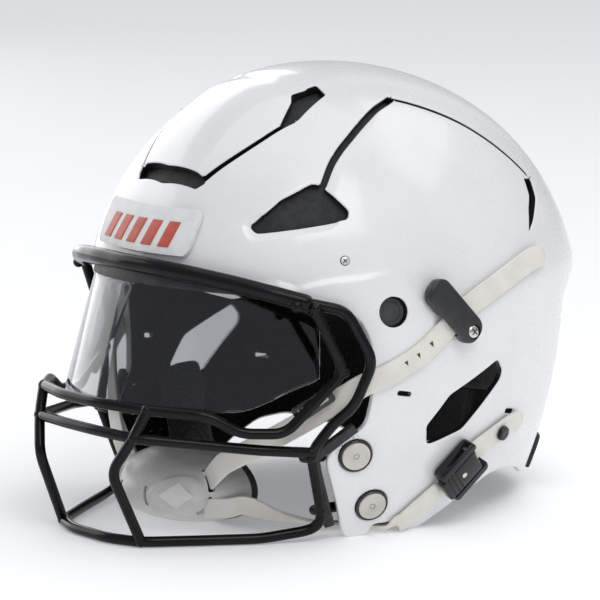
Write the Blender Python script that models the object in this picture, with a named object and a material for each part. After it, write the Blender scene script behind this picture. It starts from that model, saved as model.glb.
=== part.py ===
"""American football helmet: shell, face mask, visor, chin strap, buckles, releases and liner.

Every size is in millimetres in a head-centred frame: +X is the wearer's left, -Y is forward and +Z
is up, with z = 0 at the widest level of the shell. One empty carries all the pieces and puts the
origin at the middle of the helmet's footprint, on the surface it rests on.
"""
import bpy
import bmesh
from math import cos, pi, radians, sin, sqrt
from mathutils import Matrix, Vector

MM = 0.001

# Shell, large adult size
HALF_WIDTH = 120.0
FRONT = 133.0
BACK = 168.0
CROWN = 140.0
WALL = 4.0
SIDE_TUCK = 0.0022      # how fast the half width shrinks below the widest level, per mm squared
FRONT_TUCK = 0.0006
NAPE_STEP = 14.0        # the back steps in by this much below the rear bulge
NAPE_STEP_TOP = 28.0
NAPE_SLOPE = 0.10
NAPE_TUCK = 0.0014
JAW_BOTTOM = -106.0
REAR_BOTTOM = -97.0
STRAP_NOTCH = -99.6     # the jaw strap passes under the jaw flap here

# Seats and clearances
SEAT = 0.9              # pieces on the outside stand this far off the skin
PAD_SEAT = 1.3          # pads hang this far inside the wall
GAP = 0.3

# Face mask
BAR_RADIUS = 2.3
BROW_BAR_RADIUS = 3.6
MASK_REACH = 168.0

# Strap webbing
STRAP_WIDTH = 14.0
STRAP_THICK = 2.0
JAW_STRAP_WIDTH = 11.0

# Quick releases
CUP_RADIUS = 9.2
CUP_DEPTH = 11.0
BUTTON_RADIUS = 8.0
BUTTON_THICK = 3.6
BUTTON_TRAVEL = 2.0

# Place of the head-centred frame: the footprint's middle, and the resting plane
CENTRE_Y = 2.1
REST_Z = -JAW_BOTTOM

WHITE = (0.86, 0.87, 0.88)
CREAM = (0.83, 0.80, 0.73)
BLACK = (0.012, 0.012, 0.014)
CHARCOAL = (0.045, 0.048, 0.05)
SMOKE = (0.05, 0.055, 0.06)
NICKEL = (0.72, 0.71, 0.68)

# Outlines on the left side as (y, z); the right side mirrors them
TRIM_LINE = ((-220, 40), (-126, 39), (-96, 33), (-70, 25), (-58, 17), (-53, 5), (-51, -25),
             (-53, -41), (-64, -50), (-71, -58), (-69, -66), (-56, -98), (-52, JAW_BOTTOM),
             (-38.5, JAW_BOTTOM), (-37.5, STRAP_NOTCH), (-15.5, STRAP_NOTCH), (-14.5, JAW_BOTTOM),
             (-7, JAW_BOTTOM), (4, -100), (20, -91), (40, -82), (58, -80), (76, -85), (92, -93),
             (110, REAR_BOTTOM), (220, REAR_BOTTOM))
EAR_VENT = ((33, -14), (38, -21), (36, -26), (9, -50), (-14, -56), (-17, -45), (-3, -29))
SIDE_VENT = ((-96, 66), (-95, 62.5), (-54, 69), (-52, 73), (-60, 86), (-64, 87), (-80, 79))
SLIT = ((-60, 85), (-51, 96), (-41, 104), (-24, 114), (-8, 121), (10, 125))
CROWN_SLIT = ((54, 10), (60, 29), (65, 48), (70, 66), (73, 80), (75, 93))
REAR_VENT = ((86, 77), (95, 75), (92, 66), (80, 56), (71, 50), (78, 62), (84, 68))
FLEX_SLOT = ((-29, -100), (-24, -99), (0, -101), (24, -99), (29, -100), (25, -104), (0, -107), (-25, -104))
FLEX_SLIT = ((27, -100), (36, -85), (41, -73), (44, -60), (46, -52))
TOP_VENT = ((43, -60), (36, -46), (31, -42), (32, -25), (41, -26), (47, -51))
EAR_HOLE = (-40, 20)
EAR_HOLE_RADIUS = 8.2
EDGE_SLOTS = ((-33, -25), (49, -46))
UPPER_RELEASE = (-56, -58)
LOWER_RELEASE = (-41, -88)
SHELL_SCREW = (-61, 48)

UPPER_STRAP = ((72, 37), (60, 36), (35, 29), (20, 24), (10, 20), (2, 16), (-6, 11), (-25, -3), (-38, -10),
               (-47, -14))
REAR_STRAP = ((54, -52), (46, -53), (34, -57), (22.5, -61.5))
JAW_STRAP = ((-2, -82.5), (-9, -88), (-16, -94), (-20.5, -98.5))
UPPER_BUCKLE = (-5.5, 17.5)
LOWER_BUCKLE = (9, -71)

helmet = None


def smooth(x):
    """Ease from 0 to 1 as x goes from 0 to 1."""
    x = max(0.0, min(1.0, x))
    return x * x * (3 - 2 * x)


def section(z, offset=0.0):
    """Half width, front reach and back reach of the skin at height z, moved outwards by offset."""
    if z > 0:
        round_off = sqrt(max(0.0, 1 - (z / (CROWN + offset)) ** 2))
        step = NAPE_STEP * (1 - smooth(z / NAPE_STEP_TOP))
        return ((HALF_WIDTH + offset) * round_off, (FRONT + offset) * round_off,
                (BACK + offset) * round_off - step)
    return (HALF_WIDTH - SIDE_TUCK * z * z + offset, FRONT - FRONT_TUCK * z * z + offset,
            BACK - NAPE_STEP + NAPE_SLOPE * z - NAPE_TUCK * z * z + offset)


def ring_point(angle, z, offset=0.0):
    """Point of the skin at an angle from straight ahead, turning towards the wearer's left."""
    width, front, back = section(z, offset)
    reach = front if cos(angle) > 0 else back
    return Vector((width * sin(angle), -reach * cos(angle), z))


def side(y, z, offset=0.0):
    """Point of the left side of the skin at y and z."""
    width, front, back = section(z, offset)
    reach = front if y < 0 else back
    return Vector((width * sqrt(max(0.0, 1 - (y / reach) ** 2)), y, z))


def forehead(x, z, offset=0.0):
    """Point of the front of the skin at x and z."""
    width, front, back = section(z, offset)
    return Vector((x, -front * sqrt(max(0.0, 1 - (x / width) ** 2)), z))


def crown(x, y, offset=0.0):
    """Point of the top of the skin at x and y."""
    reach = (FRONT if y < 0 else BACK) + offset
    rest = 1 - (x / (HALF_WIDTH + offset)) ** 2 - (y / reach) ** 2
    return Vector((x, y, (CROWN + offset) * sqrt(max(0.0, rest))))


def outward(place, u, v):
    """Unit normal of the skin where place(u, v) is."""
    here = place(u, v)
    normal = (place(u + 0.5, v) - here).cross(place(u, v + 0.5) - here).normalized()
    return normal if normal.dot(here) > 0 else -normal


def lifted(place, u, v, lift):
    return place(u, v) + outward(place, u, v) * lift


def flip_x(point):
    return Vector((-point[0], point[1], point[2]))


def material(name, colour, roughness, metallic=0.0, alpha=1.0):
    """Principled material of one sub-part."""
    mat = bpy.data.materials.new(name)
    mat.use_nodes = True
    shader = mat.node_tree.nodes["Principled BSDF"]
    shader.inputs["Base Color"].default_value = (*colour, 1.0)
    shader.inputs["Roughness"].default_value = roughness
    shader.inputs["Metallic"].default_value = metallic
    shader.inputs["Alpha"].default_value = alpha
    return mat


def add(name, bm, finish=None, place=None):
    """Turn a bmesh in millimetres into a named object under the helmet's empty."""
    bmesh.ops.recalc_face_normals(bm, faces=bm.faces)
    bmesh.ops.scale(bm, vec=(MM, MM, MM), verts=bm.verts)
    mesh = bpy.data.meshes.new(name)
    bm.to_mesh(mesh)
    bm.free()
    mesh.shade_smooth()
    mesh.set_sharp_from_angle(angle=radians(35))
    obj = bpy.data.objects.new(name, mesh)
    bpy.context.scene.collection.objects.link(obj)
    obj.parent = helmet
    if place is not None:
        obj.rotation_euler = place.to_euler()
        obj.location = place.to_translation() * MM
    if finish:
        obj.data.materials.append(material(name, *finish))
    else:
        obj.hide_render = True
        obj.display_type = "WIRE"
    return obj


def boolean(obj, cutter, operation="DIFFERENCE"):
    step = obj.modifiers.new(cutter.name, "BOOLEAN")
    step.operation = operation
    step.object = cutter
    step.solver = "EXACT"


def loops_to_solid(loops, closed=False):
    """Solid skinned over loops of points that all have the same count, capped unless closed."""
    bm = bmesh.new()
    rows = [[bm.verts.new(p) for p in loop] for loop in loops]
    count = len(rows[0])
    pairs = list(zip(rows, rows[1:])) + ([(rows[-1], rows[0])] if closed else [])
    for one, two in pairs:
        for i in range(count):
            j = (i + 1) % count
            bm.faces.new((one[i], one[j], two[j], two[i]))
    if not closed:
        bm.faces.new(rows[0][::-1])
        bm.faces.new(rows[-1])
    return bm


def mirrored(bm):
    """Add the mirror image across x = 0."""
    made = bmesh.ops.duplicate(bm, geom=bm.verts[:] + bm.edges[:] + bm.faces[:])["geom"]
    verts = [g for g in made if isinstance(g, bmesh.types.BMVert)]
    bmesh.ops.scale(bm, vec=(-1, 1, 1), verts=verts)
    bmesh.ops.reverse_faces(bm, faces=[g for g in made if isinstance(g, bmesh.types.BMFace)])
    return bm


def skin_cutter(name, place, outline, both=True, inside=-16.0, outside=9.0):
    """Cutter through the wall along an outline given in the coordinates of place."""
    loops = [[lifted(place, u, v, lift) for u, v in outline] for lift in (inside, outside)]
    bm = loops_to_solid(loops)
    bmesh.ops.triangulate(bm, faces=bm.faces)
    return add(name, mirrored(bm) if both else bm)


def stroke(path, width):
    """Outline of a narrow slit of even width along a path."""
    left, right = [], []
    for i, point in enumerate(path):
        before = Vector(path[max(i - 1, 0)])
        after = Vector(path[min(i + 1, len(path) - 1)])
        along = (after - before).normalized()
        across = Vector((-along.y, along.x)) * (width / 2)
        left.append(tuple(Vector(point) + across))
        right.append(tuple(Vector(point) - across))
    return left + right[::-1]


def frame_on(place, u, v, lift=0.0, along=(1.0, 0.0)):
    """Matrix whose Z is the skin's normal and whose X follows a direction in u and v."""
    z_axis = outward(place, u, v)
    step = place(u + along[0], v + along[1]) - place(u, v)
    x_axis = (step - z_axis * step.dot(z_axis)).normalized()
    y_axis = z_axis.cross(x_axis)
    turn = Matrix((x_axis, y_axis, z_axis)).transposed().to_4x4()
    return Matrix.Translation(place(u, v) + z_axis * lift) @ turn


def other_side(matrix):
    """The same seat on the wearer's right, kept right-handed."""
    flip = Matrix.Diagonal((-1, 1, 1, 1))
    return flip @ matrix @ Matrix.Diagonal((-1, 1, 1, 1))


def cylinder(radius, low, high, sides=20):
    bm = bmesh.new()
    bmesh.ops.create_cone(bm, cap_ends=True, segments=sides, radius1=radius, radius2=radius,
                          depth=high - low, matrix=Matrix.Translation((0, 0, (low + high) / 2)))
    return bm


def block(size, low=0.0, bevel=0.0, shift=(0.0, 0.0)):
    """Box on its seat, with every edge chamfered."""
    bm = bmesh.new()
    bmesh.ops.create_cube(bm, size=1.0)
    bmesh.ops.scale(bm, vec=size, verts=bm.verts)
    bmesh.ops.translate(bm, vec=(shift[0], shift[1], low + size[2] / 2), verts=bm.verts)
    if bevel:
        bmesh.ops.bevel(bm, geom=bm.edges[:], offset=bevel, segments=1, affect="EDGES", profile=0.5,
                        material=-1)
    return bm


def dome(offset, bottom, segments=48, rings_up=8, rings_down=4):
    """Closed blob with the shell's form, cut flat at the bottom."""
    heights = [bottom * i / rings_down for i in range(rings_down, 0, -1)]
    heights += [(CROWN + offset) * sin(pi / 2 * i / rings_up) for i in range(rings_up)]
    turns = [2 * pi * i / segments for i in range(segments)]
    bm = bmesh.new()
    rows = [[bm.verts.new(ring_point(a, z, offset)) for a in turns] for z in heights]
    for one, two in zip(rows, rows[1:]):
        for i in range(segments):
            j = (i + 1) % segments
            bm.faces.new((one[i], one[j], two[j], two[i]))
    top = bm.verts.new((0, 0, CROWN + offset))
    low = bm.verts.new((0, 0, bottom))
    for i in range(segments):
        j = (i + 1) % segments
        bm.faces.new((rows[-1][i], rows[-1][j], top))
        bm.faces.new((rows[0][j], rows[0][i], low))
    return bm


def skin_patch(turn_from, turn_to, low, high, inner, outer, across=10, up=5):
    """Curved slab between two offsets of the skin, over a span of angles and heights."""
    bm = bmesh.new()

    def grid(offset):
        return [[bm.verts.new(ring_point(radians(turn_from + (turn_to - turn_from) * i / across),
                                         low + (high - low) * j / up, offset))
                 for i in range(across + 1)] for j in range(up + 1)]

    near, far = grid(inner), grid(outer)
    for j in range(up):
        for i in range(across):
            for rows in (near, far):
                bm.faces.new((rows[j][i], rows[j][i + 1], rows[j + 1][i + 1], rows[j + 1][i]))
    rim = [(0, i) for i in range(across)] + [(j, across) for j in range(up)]
    rim += [(up, i) for i in range(across, 0, -1)] + [(j, 0) for j in range(up, 0, -1)]
    for k, (j, i) in enumerate(rim):
        m, n = rim[(k + 1) % len(rim)]
        bm.faces.new((near[j][i], near[m][n], far[m][n], far[j][i]))
    return bm


def eased(stations, steps=3):
    """Stations filled in along a smooth curve through the given ones."""
    out = []
    last = len(stations) - 1
    for i in range(last):
        four = [stations[max(0, min(last, i + k))] for k in (-1, 0, 1, 2)]
        for k in range(steps):
            t = k / steps
            weights = (-t / 2 + t * t - t ** 3 / 2, 1 - 2.5 * t * t + 1.5 * t ** 3,
                       t / 2 + 2 * t * t - 1.5 * t ** 3, -t * t / 2 + t ** 3 / 2)
            out.append(tuple(sum((w * s[part] for w, s in zip(weights, four)), Vector((0, 0, 0)))
                             for part in (0, 1)))
    return out + [stations[-1]]


def ribbon(stations, width=STRAP_WIDTH, thick=STRAP_THICK):
    """Flat strap through stations of centre and face normal."""
    stations = eased(stations)
    loops = []
    for i, (centre, normal) in enumerate(stations):
        along = stations[min(i + 1, len(stations) - 1)][0] - stations[max(i - 1, 0)][0]
        across = along.cross(normal).normalized() * (width / 2)
        face = across.cross(along).normalized() * (thick / 2)
        loops.append([centre - across - face, centre + across - face, centre + across + face,
                      centre - across + face])
    return loops_to_solid(loops)


def tube(path, radius, sides=7, closed=False):
    """Round bar along a path, mitred at its corners."""
    count = len(path)
    normal = None
    loops = []
    for i, point in enumerate(path):
        before = path[i - 1] if closed or i else path[0]
        after = path[(i + 1) % count] if closed or i < count - 1 else path[-1]
        along = (after - before).normalized()
        if normal is None:
            normal = along.cross(Vector((0, 0, 1))).normalized()
        normal = (normal - along * normal.dot(along)).normalized()
        across = along.cross(normal)
        loops.append([point + (normal * cos(2 * pi * k / sides) + across * sin(2 * pi * k / sides)) * radius
                      for k in range(sides)])
    return loops_to_solid(loops, closed)


def rounded(path, radius, closed=False, steps=2):
    """Path with each corner turned into a short curve."""
    points = [Vector(p) for p in path]
    count = len(points)
    out = [] if closed else [points[0]]
    for i in range(0 if closed else 1, count if closed else count - 1):
        before, here, after = points[i - 1], points[i], points[(i + 1) % count]
        back = min(radius, (before - here).length * 0.45)
        ahead = min(radius, (after - here).length * 0.45)
        start = here + (before - here).normalized() * back
        end = here + (after - here).normalized() * ahead
        for k in range(steps + 1):
            t = k / steps
            out.append(start * (1 - t) ** 2 + here * 2 * t * (1 - t) + end * t * t)
    return out if closed else out + [points[-1]]


def make_shell():
    """One-piece shell with its wall, face opening, vents, slits and fastener holes."""
    shell = add("shell", dome(0.0, -112.0), (WHITE, 0.28))
    boolean(shell, add("cut_hollow", dome(-WALL, -125.0)))
    outline = list(TRIM_LINE) + [(220, -220), (-220, -220)]
    loops = [[Vector((x, y, z)) for y, z in outline] for x in (-200, 200)]
    trim = loops_to_solid(loops)
    bmesh.ops.triangulate(trim, faces=trim.faces)
    boolean(shell, add("cut_trim", trim))
    boolean(shell, skin_cutter("cut_ear_vent", side, EAR_VENT))
    boolean(shell, skin_cutter("cut_side_vent", side, SIDE_VENT, outside=14.0))
    boolean(shell, skin_cutter("cut_slit", side, stroke(SLIT, 2.4)))
    boolean(shell, skin_cutter("cut_crown_slit", crown, stroke(CROWN_SLIT, 2.4)))
    boolean(shell, skin_cutter("cut_rear_vent", side, REAR_VENT, inside=-10.0))
    boolean(shell, skin_cutter("cut_flex_slot", crown, FLEX_SLOT, both=False))
    boolean(shell, skin_cutter("cut_flex_slit", crown, stroke(FLEX_SLIT, 2.0)))
    boolean(shell, skin_cutter("cut_top_vent", crown, TOP_VENT))
    for k, (y, z) in enumerate(EDGE_SLOTS):
        outline = stroke(((y - 4, z + 0.8), (y + 4, z - 0.8)), 2.6)
        boolean(shell, skin_cutter(f"cut_edge_slot_{k}", side, outline))
    holes = ((EAR_HOLE, EAR_HOLE_RADIUS), (UPPER_RELEASE, CUP_RADIUS + GAP),
             (LOWER_RELEASE, CUP_RADIUS + GAP), (SHELL_SCREW, 2.6))
    for k, ((y, z), radius) in enumerate(holes):
        seat = frame_on(side, y, z)
        for hand, place in (("left", seat), ("right", other_side(seat))):
            cutter = add(f"cut_hole_{k}_{hand}", cylinder(radius, -16, 10), place=place)
            boolean(shell, cutter)


def make_nameplate():
    """Soft bumper on the forehead, between the brow bar and the flex panel."""
    add("front_nameplate", skin_patch(-22, 22, 49, 71, SEAT, 4.4, across=10, up=4), ((0.8, 0.79, 0.76), 0.55))


def make_rear_bumper():
    """Soft edge bumper along the nape."""
    add("rear_bumper", skin_patch(146, 214, -95, -76, SEAT, 3.6, across=14, up=2), (BLACK, 0.6))


def jaw_edge(hand):
    """Rubber edging just ahead of the jaw flap's front edge."""
    line = ((-54.5, -42), (-65.5, -51.5), (-72.5, -58), (-70.3, -67), (-57.5, -98.5))
    inner = [side(y, z, -WALL) for y, z in line]
    outer = [side(y, z, 0.6) for y, z in line]
    ahead, behind = Vector((0, -3.4, 0)), Vector((0, -0.9, 0))
    loops = [[a + ahead, b + ahead, b + behind, a + behind] for a, b in zip(inner, outer)]
    if hand == "right":
        loops = [[flip_x(p) for p in loop] for loop in loops]
    return loops_to_solid(loops)


def mask_paths():
    """Centre lines of the mask's bars on the wearer's left, each ending where it is welded."""
    brow_line = [forehead(x, z, BROW_BAR_RADIUS + 2.6) for x, z in
                 ((0, 43), (25, 42.5), (48, 40.5), (68, 37), (84, 32.5), (96, 28))]
    corner = Vector((108, -68, 23))
    outer = [Vector(p) for p in ((117, -57, -4), (112, -66, -28), (102, -72, -38), (94, -81, -54),
                                 (88, -68, -93), (83, -71, -99.5), (70, -96, -103.4),
                                 (53, -123, -103.4), (35, -150, -103.4), (15, -158, -103.4))]
    eye = [Vector(p) for p in ((101, -84, 25), (106, -68, -10), (92, -97, -42), (80, -118, -41),
                               (70, -132, -31), (46, -154, -29), (16, -164, -28))]
    mouth = [Vector(p) for p in ((94, -81, -54), (83, -107, -51), (42, -160, -44), (12, -165, -43))]
    knee = Vector((32, -MASK_REACH, -63))
    return brow_line, corner, outer, eye, mouth, knee


def make_facemask():
    """Welded steel cage: brow, side, eye, mouth and chin bars and two uprights."""
    brow_line, corner, outer, eye, mouth, knee = mask_paths()
    left = brow_line[1:] + [corner] + outer
    ring = [brow_line[0]] + left + [flip_x(p) for p in left[::-1]]
    mask = add("facemask", tube(rounded(ring, 7.0, closed=True), BAR_RADIUS, closed=True), (BLACK, 0.22))
    brow = [flip_x(p) for p in brow_line[:0:-1]] + brow_line
    bars = {"brow": (brow, BROW_BAR_RADIUS),
            "eye": ([p for p in eye] + [flip_x(p) for p in eye[::-1]], BAR_RADIUS),
            "mouth": ([p for p in mouth] + [flip_x(p) for p in mouth[::-1]], BAR_RADIUS)}
    for hand in ("left", "right"):
        upright = [Vector((46, -154, -29)), Vector((42, -160, -44)), knee, Vector((35, -150, -103.4))]
        upper_stub = [Vector((93.8, -81, -57)), Vector((85.5, -80, -58)), Vector((83.5, -65, -60))]
        lower_stub = [Vector((88.8, -69.7, -88)), Vector((81.5, -69.5, -89)), Vector((80, -52, -90))]
        for label, path in (("upright", upright), ("upper_stub", upper_stub), ("lower_stub", lower_stub)):
            bars[f"{label}_{hand}"] = (path if hand == "left" else [flip_x(p) for p in path], BAR_RADIUS)
    for label, (path, radius) in bars.items():
        bend = 3.0 if "stub" in label else 7.0
        bm = tube(rounded(path, bend), radius)
        bmesh.ops.recalc_face_normals(bm, faces=bm.faces)
        boolean(mask, add(f"join_{label}", bm), "UNION")


def visor_point(angle, t, offset):
    """Point of the visor's curved sheet; t runs from the bottom edge to the top edge."""
    width = 104.0 - 12.0 * t + offset
    reach = 156.0 - 20.0 * t + offset
    low = -32.0 + 15.0 * smooth((abs(angle) - radians(42)) / radians(22))
    high = 34.0 - 17.0 * (1 - cos(angle))
    return Vector((width * sin(angle), -reach * cos(angle), low + (high - low) * t))


def make_visor():
    """Clear curved shield inside the mask's eye port."""
    across, up = 20, 3
    bm = bmesh.new()
    turns = [radians(-62 + 124 * i / across) for i in range(across + 1)]
    near, far = ([[bm.verts.new(visor_point(a, j / up, offset)) for a in turns] for j in range(up + 1)]
                 for offset in (-2.2, 0.0))
    for j in range(up):
        for i in range(across):
            for rows in (near, far):
                bm.faces.new((rows[j][i], rows[j][i + 1], rows[j + 1][i + 1], rows[j + 1][i]))
    rim = [(0, i) for i in range(across)] + [(j, across) for j in range(up)]
    rim += [(up, i) for i in range(across, 0, -1)] + [(j, 0) for j in range(up, 0, -1)]
    for k, (j, i) in enumerate(rim):
        m, n = rim[(k + 1) % len(rim)]
        bm.faces.new((near[j][i], near[m][n], far[m][n], far[j][i]))
    add("visor", bm, (SMOKE, 0.05, 0.0, 0.4))


def make_visor_clip(hand):
    """Clip that holds the visor's tail against the side bars."""
    start, end = Vector((104, -74.5, -22)), Vector((95.5, -91, -33.5))
    along = (end - start).normalized()
    normal = Vector((0.86, -0.5, 0.0)).normalized()
    normal = (normal - along * normal.dot(along)).normalized()
    across = normal.cross(along)
    turn = Matrix((along, across, normal)).transposed().to_4x4()
    place = Matrix.Translation((start + end) / 2 - normal * 6.4) @ turn
    bm = block(((end - start).length + 2, 9.0, 3.0), bevel=0.8)
    add(f"visor_clip_{hand}", bm, (BLACK, 0.3), place if hand == "left" else other_side(place))


def make_releases(hand):
    """Quick releases that hold the mask: a cup in the jaw flap and a sprung button in each cup."""
    for level, (y, z) in (("upper", UPPER_RELEASE), ("lower", LOWER_RELEASE)):
        seat = frame_on(side, y, z)
        place = seat if hand == "left" else other_side(seat)
        cup = add(f"release_cup_{level}_{hand}", cylinder(CUP_RADIUS, -CUP_DEPTH, 0.6), (BLACK, 0.45),
                  place)
        floor = BUTTON_THICK + BUTTON_TRAVEL + 1.0
        boolean(cup, add(f"cut_cup_{level}_{hand}", cylinder(BUTTON_RADIUS + GAP, -floor, 3.0), place=place))
        top = 0.9
        add(f"release_button_{level}_{hand}", cylinder(BUTTON_RADIUS, top - BUTTON_THICK, top),
            (NICKEL, 0.35, 0.6), place)


def make_side_details(hand):
    """Plug in the round hole and the screw that holds the liner rail."""
    seat = frame_on(side, *EAR_HOLE)
    place = seat if hand == "left" else other_side(seat)
    add(f"temple_plug_{hand}", cylinder(EAR_HOLE_RADIUS - GAP - 0.2, -6.0, -2.6, 24), (CHARCOAL, 0.6), place)
    seat = frame_on(side, *SHELL_SCREW)
    place = seat if hand == "left" else other_side(seat)
    add(f"shell_screw_{hand}", cylinder(2.3, -8.0, 0.5, 16), (NICKEL, 0.3, 0.9), place)


def strap_on_skin(path, hand, lift=SEAT + STRAP_THICK / 2 + 0.4):
    """Stations of a strap that lies on the left side of the skin."""
    return [(lifted(side, y, z, lift), outward(side, y, z)) for y, z in path]


def turned(stations, hand):
    if hand == "left":
        return stations
    return [(flip_x(p), flip_x(n)) for p, n in stations]


def make_straps(hand):
    """Upper strap, rear strap and jaw strap of one side, in supple urethane."""
    upper = strap_on_skin(UPPER_STRAP, hand)
    inner_run = (((109, -56.5, -18), (0.9, -0.45, 0.0)), ((101.5, -65, -25), (0.72, -0.6, 0.2)),
                 ((86, -78, -38), (0.6, -0.6, 0.4)), ((68, -90, -51), (0.55, -0.65, 0.4)),
                 ((49, -101, -63), (0.5, -0.7, 0.4)))
    upper += [(Vector(p), Vector(n)) for p, n in inner_run]
    add(f"upper_strap_{hand}", ribbon(turned(upper, hand)), (CREAM, 0.5))
    rear = strap_on_skin(REAR_STRAP, hand)
    add(f"rear_strap_{hand}", ribbon(turned(rear, hand)), (CREAM, 0.5))
    jaw = strap_on_skin(JAW_STRAP, hand)
    under = (((98.2, -23.4, -100.2), (0.9, 0.0, -0.4)), ((94.0, -25.2, -102.2), (0.0, 0.0, -1.0)),
             ((86.0, -29.0, -102.0), (-0.1, 0.0, -1.0)), ((78, -40, -101.2), (0.0, -0.1, -1.0)),
             ((68, -57, -100), (0.2, -0.2, -1.0)), ((58, -75, -95.5), (0.5, -0.3, -0.8)),
             ((50, -89, -89), (0.8, -0.4, -0.4)))
    jaw += [(Vector(p), Vector(n)) for p, n in under]
    add(f"jaw_strap_{hand}", ribbon(turned(jaw, hand), width=JAW_STRAP_WIDTH), (CREAM, 0.5))


def make_upper_buckle(hand):
    """Keeper plate that the upper strap runs under, and the screw that holds it to the shell."""
    seat = frame_on(side, *UPPER_BUCKLE, lift=SEAT, along=(0.67, -0.74))
    place = seat if hand == "left" else other_side(seat)
    mirror = 1.0 if hand == "left" else -1.0
    plate = add(f"upper_buckle_{hand}", block((42.0, 16.0, 6.4), bevel=1.2), (BLACK, 0.3), place)
    tunnel = block((STRAP_WIDTH + 2.8, 30.0, 4.6), low=-0.8)
    bmesh.ops.rotate(tunnel, cent=(0, 0, 0), matrix=Matrix.Rotation(radians(-13.0 * mirror), 3, "Z"),
                     verts=tunnel.verts)
    bmesh.ops.translate(tunnel, vec=(4.7 * mirror, 0, 0), verts=tunnel.verts)
    boolean(plate, add(f"cut_tunnel_{hand}", tunnel, place=place))
    bore = cylinder(2.9, -3.0, 9.0, 20)
    bmesh.ops.translate(bore, vec=(16.6 * mirror, 0, 0), verts=bore.verts)
    boolean(plate, add(f"cut_bore_{hand}", bore, place=place))
    screw = cylinder(2.6, 0.2, 6.0, 20)
    bmesh.ops.translate(screw, vec=(16.6 * mirror, 0, 0), verts=screw.verts)
    add(f"buckle_screw_{hand}", screw, (NICKEL, 0.28, 0.9), place)


def make_lower_buckle(hand):
    """Cam buckle that joins the rear strap to the jaw strap: frame, lever and pin."""
    seat = frame_on(side, *LOWER_BUCKLE, lift=SEAT, along=(-0.72, -0.69))
    place = seat if hand == "left" else other_side(seat)
    mirror = 1.0 if hand == "left" else -1.0
    frame = add(f"lower_buckle_frame_{hand}", block((27.0, 25.0, 8.4), bevel=1.2), (BLACK, 0.35), place)
    boolean(frame, add(f"cut_lever_bay_{hand}", block((36.0, 16.4, 8.0), low=1.9), place=place))
    bore = cylinder(1.5, -14.0, 14.0, 16)
    tip = Matrix.Translation((-8.0 * mirror, 0, 5.6)) @ Matrix.Rotation(pi / 2, 4, "X")
    bmesh.ops.transform(bore, matrix=tip, verts=bore.verts)
    boolean(frame, add(f"cut_pin_bore_{hand}", bore, place=place))
    pin = cylinder(1.2, -12.3, 12.3, 16)
    bmesh.ops.transform(pin, matrix=tip, verts=pin.verts)
    add(f"lower_buckle_pin_{hand}", pin, (NICKEL, 0.25, 0.9), place)
    lever = block((26.0, 15.4, 5.4), low=3.1, bevel=1.0, shift=(2.7 * mirror, 0.0))
    hinge = place @ Matrix.Translation((-8.0 * mirror, 0, 5.6))
    bmesh.ops.translate(lever, vec=(8.0 * mirror, 0, -5.6), verts=lever.verts)
    lever_obj = add(f"lower_buckle_lever_{hand}", lever, (BLACK, 0.3), hinge)
    eye = cylinder(1.5, -10.0, 10.0, 16)
    bmesh.ops.rotate(eye, cent=(0, 0, 0), matrix=Matrix.Rotation(pi / 2, 3, "X"), verts=eye.verts)
    boolean(lever_obj, add(f"cut_lever_eye_{hand}", eye, place=hinge))


def make_snap(hand):
    """Stud through the rear strap's end."""
    seat = frame_on(side, 39, -55.3, lift=SEAT + STRAP_THICK + 1.1)
    place = seat if hand == "left" else other_side(seat)
    add(f"strap_stud_{hand}", cylinder(4.2, 0.0, 2.4, 20), (BLACK, 0.35), place)


def cup_solid(name, finish, outer, inner, back):
    """Half-egg bowl that opens to the rear, made from two egg radii."""
    def egg(radii):
        bm = bmesh.new()
        bmesh.ops.create_uvsphere(bm, u_segments=20, v_segments=10, radius=1.0)
        bmesh.ops.scale(bm, vec=radii, verts=bm.verts)
        bmesh.ops.translate(bm, vec=(0, -84, -84.2), verts=bm.verts)
        return bm

    cup = add(name, egg(outer), finish)
    boolean(cup, add(f"cut_{name}_hollow", egg(inner)))
    mouth = block((160, 100, 120), low=-150)
    bmesh.ops.translate(mouth, vec=(0, back + 50, 0), verts=mouth.verts)
    boolean(cup, add(f"cut_{name}_mouth", mouth))


def make_pads():
    """Foam blocks of the liner, each clear of the wall and of its neighbours."""
    inner, foam = -WALL - PAD_SEAT, (CHARCOAL, 0.8)
    add("front_pad", skin_patch(-40, 40, 44, 92, inner - 15, inner, across=10, up=3), foam)
    add("rear_pad", skin_patch(142, 218, -66, 62, inner - 19, inner, across=10, up=6), foam)
    for hand, mirror in (("left", 1), ("right", -1)):
        turns = sorted((mirror * 64, mirror * 128))
        add(f"side_pad_{hand}", skin_patch(*turns, 34, 88, inner - 17, inner, across=9, up=4), foam)
        turns = sorted((mirror * 69, mirror * 88))
        add(f"jaw_pad_{hand}", skin_patch(*turns, -92, -38, inner - 20, -CUP_DEPTH - 2.2, across=4, up=3), foam)


def make_crown_pad():
    """Crown block with a flat underside that a display stand can carry."""
    count, half_x, half_y, flat = 8, 50.0, 50.0, 108.0
    bm = bmesh.new()

    def grid(place):
        return [[bm.verts.new(place(half_x * (2 * i / count - 1), half_y * (2 * j / count - 1)))
                 for i in range(count + 1)] for j in range(count + 1)]

    top = grid(lambda x, y: crown(x * 0.86, y * 0.86, -WALL - PAD_SEAT))
    low = grid(lambda x, y: Vector((x * 0.8, y * 0.8, flat)))
    for j in range(count):
        for i in range(count):
            for rows in (top, low):
                bm.faces.new((rows[j][i], rows[j][i + 1], rows[j + 1][i + 1], rows[j + 1][i]))
    rim = [(0, i) for i in range(count)] + [(j, count) for j in range(count)]
    rim += [(count, i) for i in range(count, 0, -1)] + [(j, 0) for j in range(count, 0, -1)]
    for k, (j, i) in enumerate(rim):
        m, n = rim[(k + 1) % len(rim)]
        bm.faces.new((top[j][i], top[m][n], low[m][n], low[j][i]))
    bmesh.ops.dissolve_limit(bm, angle_limit=radians(0.5), verts=bm.verts, edges=bm.edges)
    add("crown_pad", bm, (CHARCOAL, 0.8))


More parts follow.
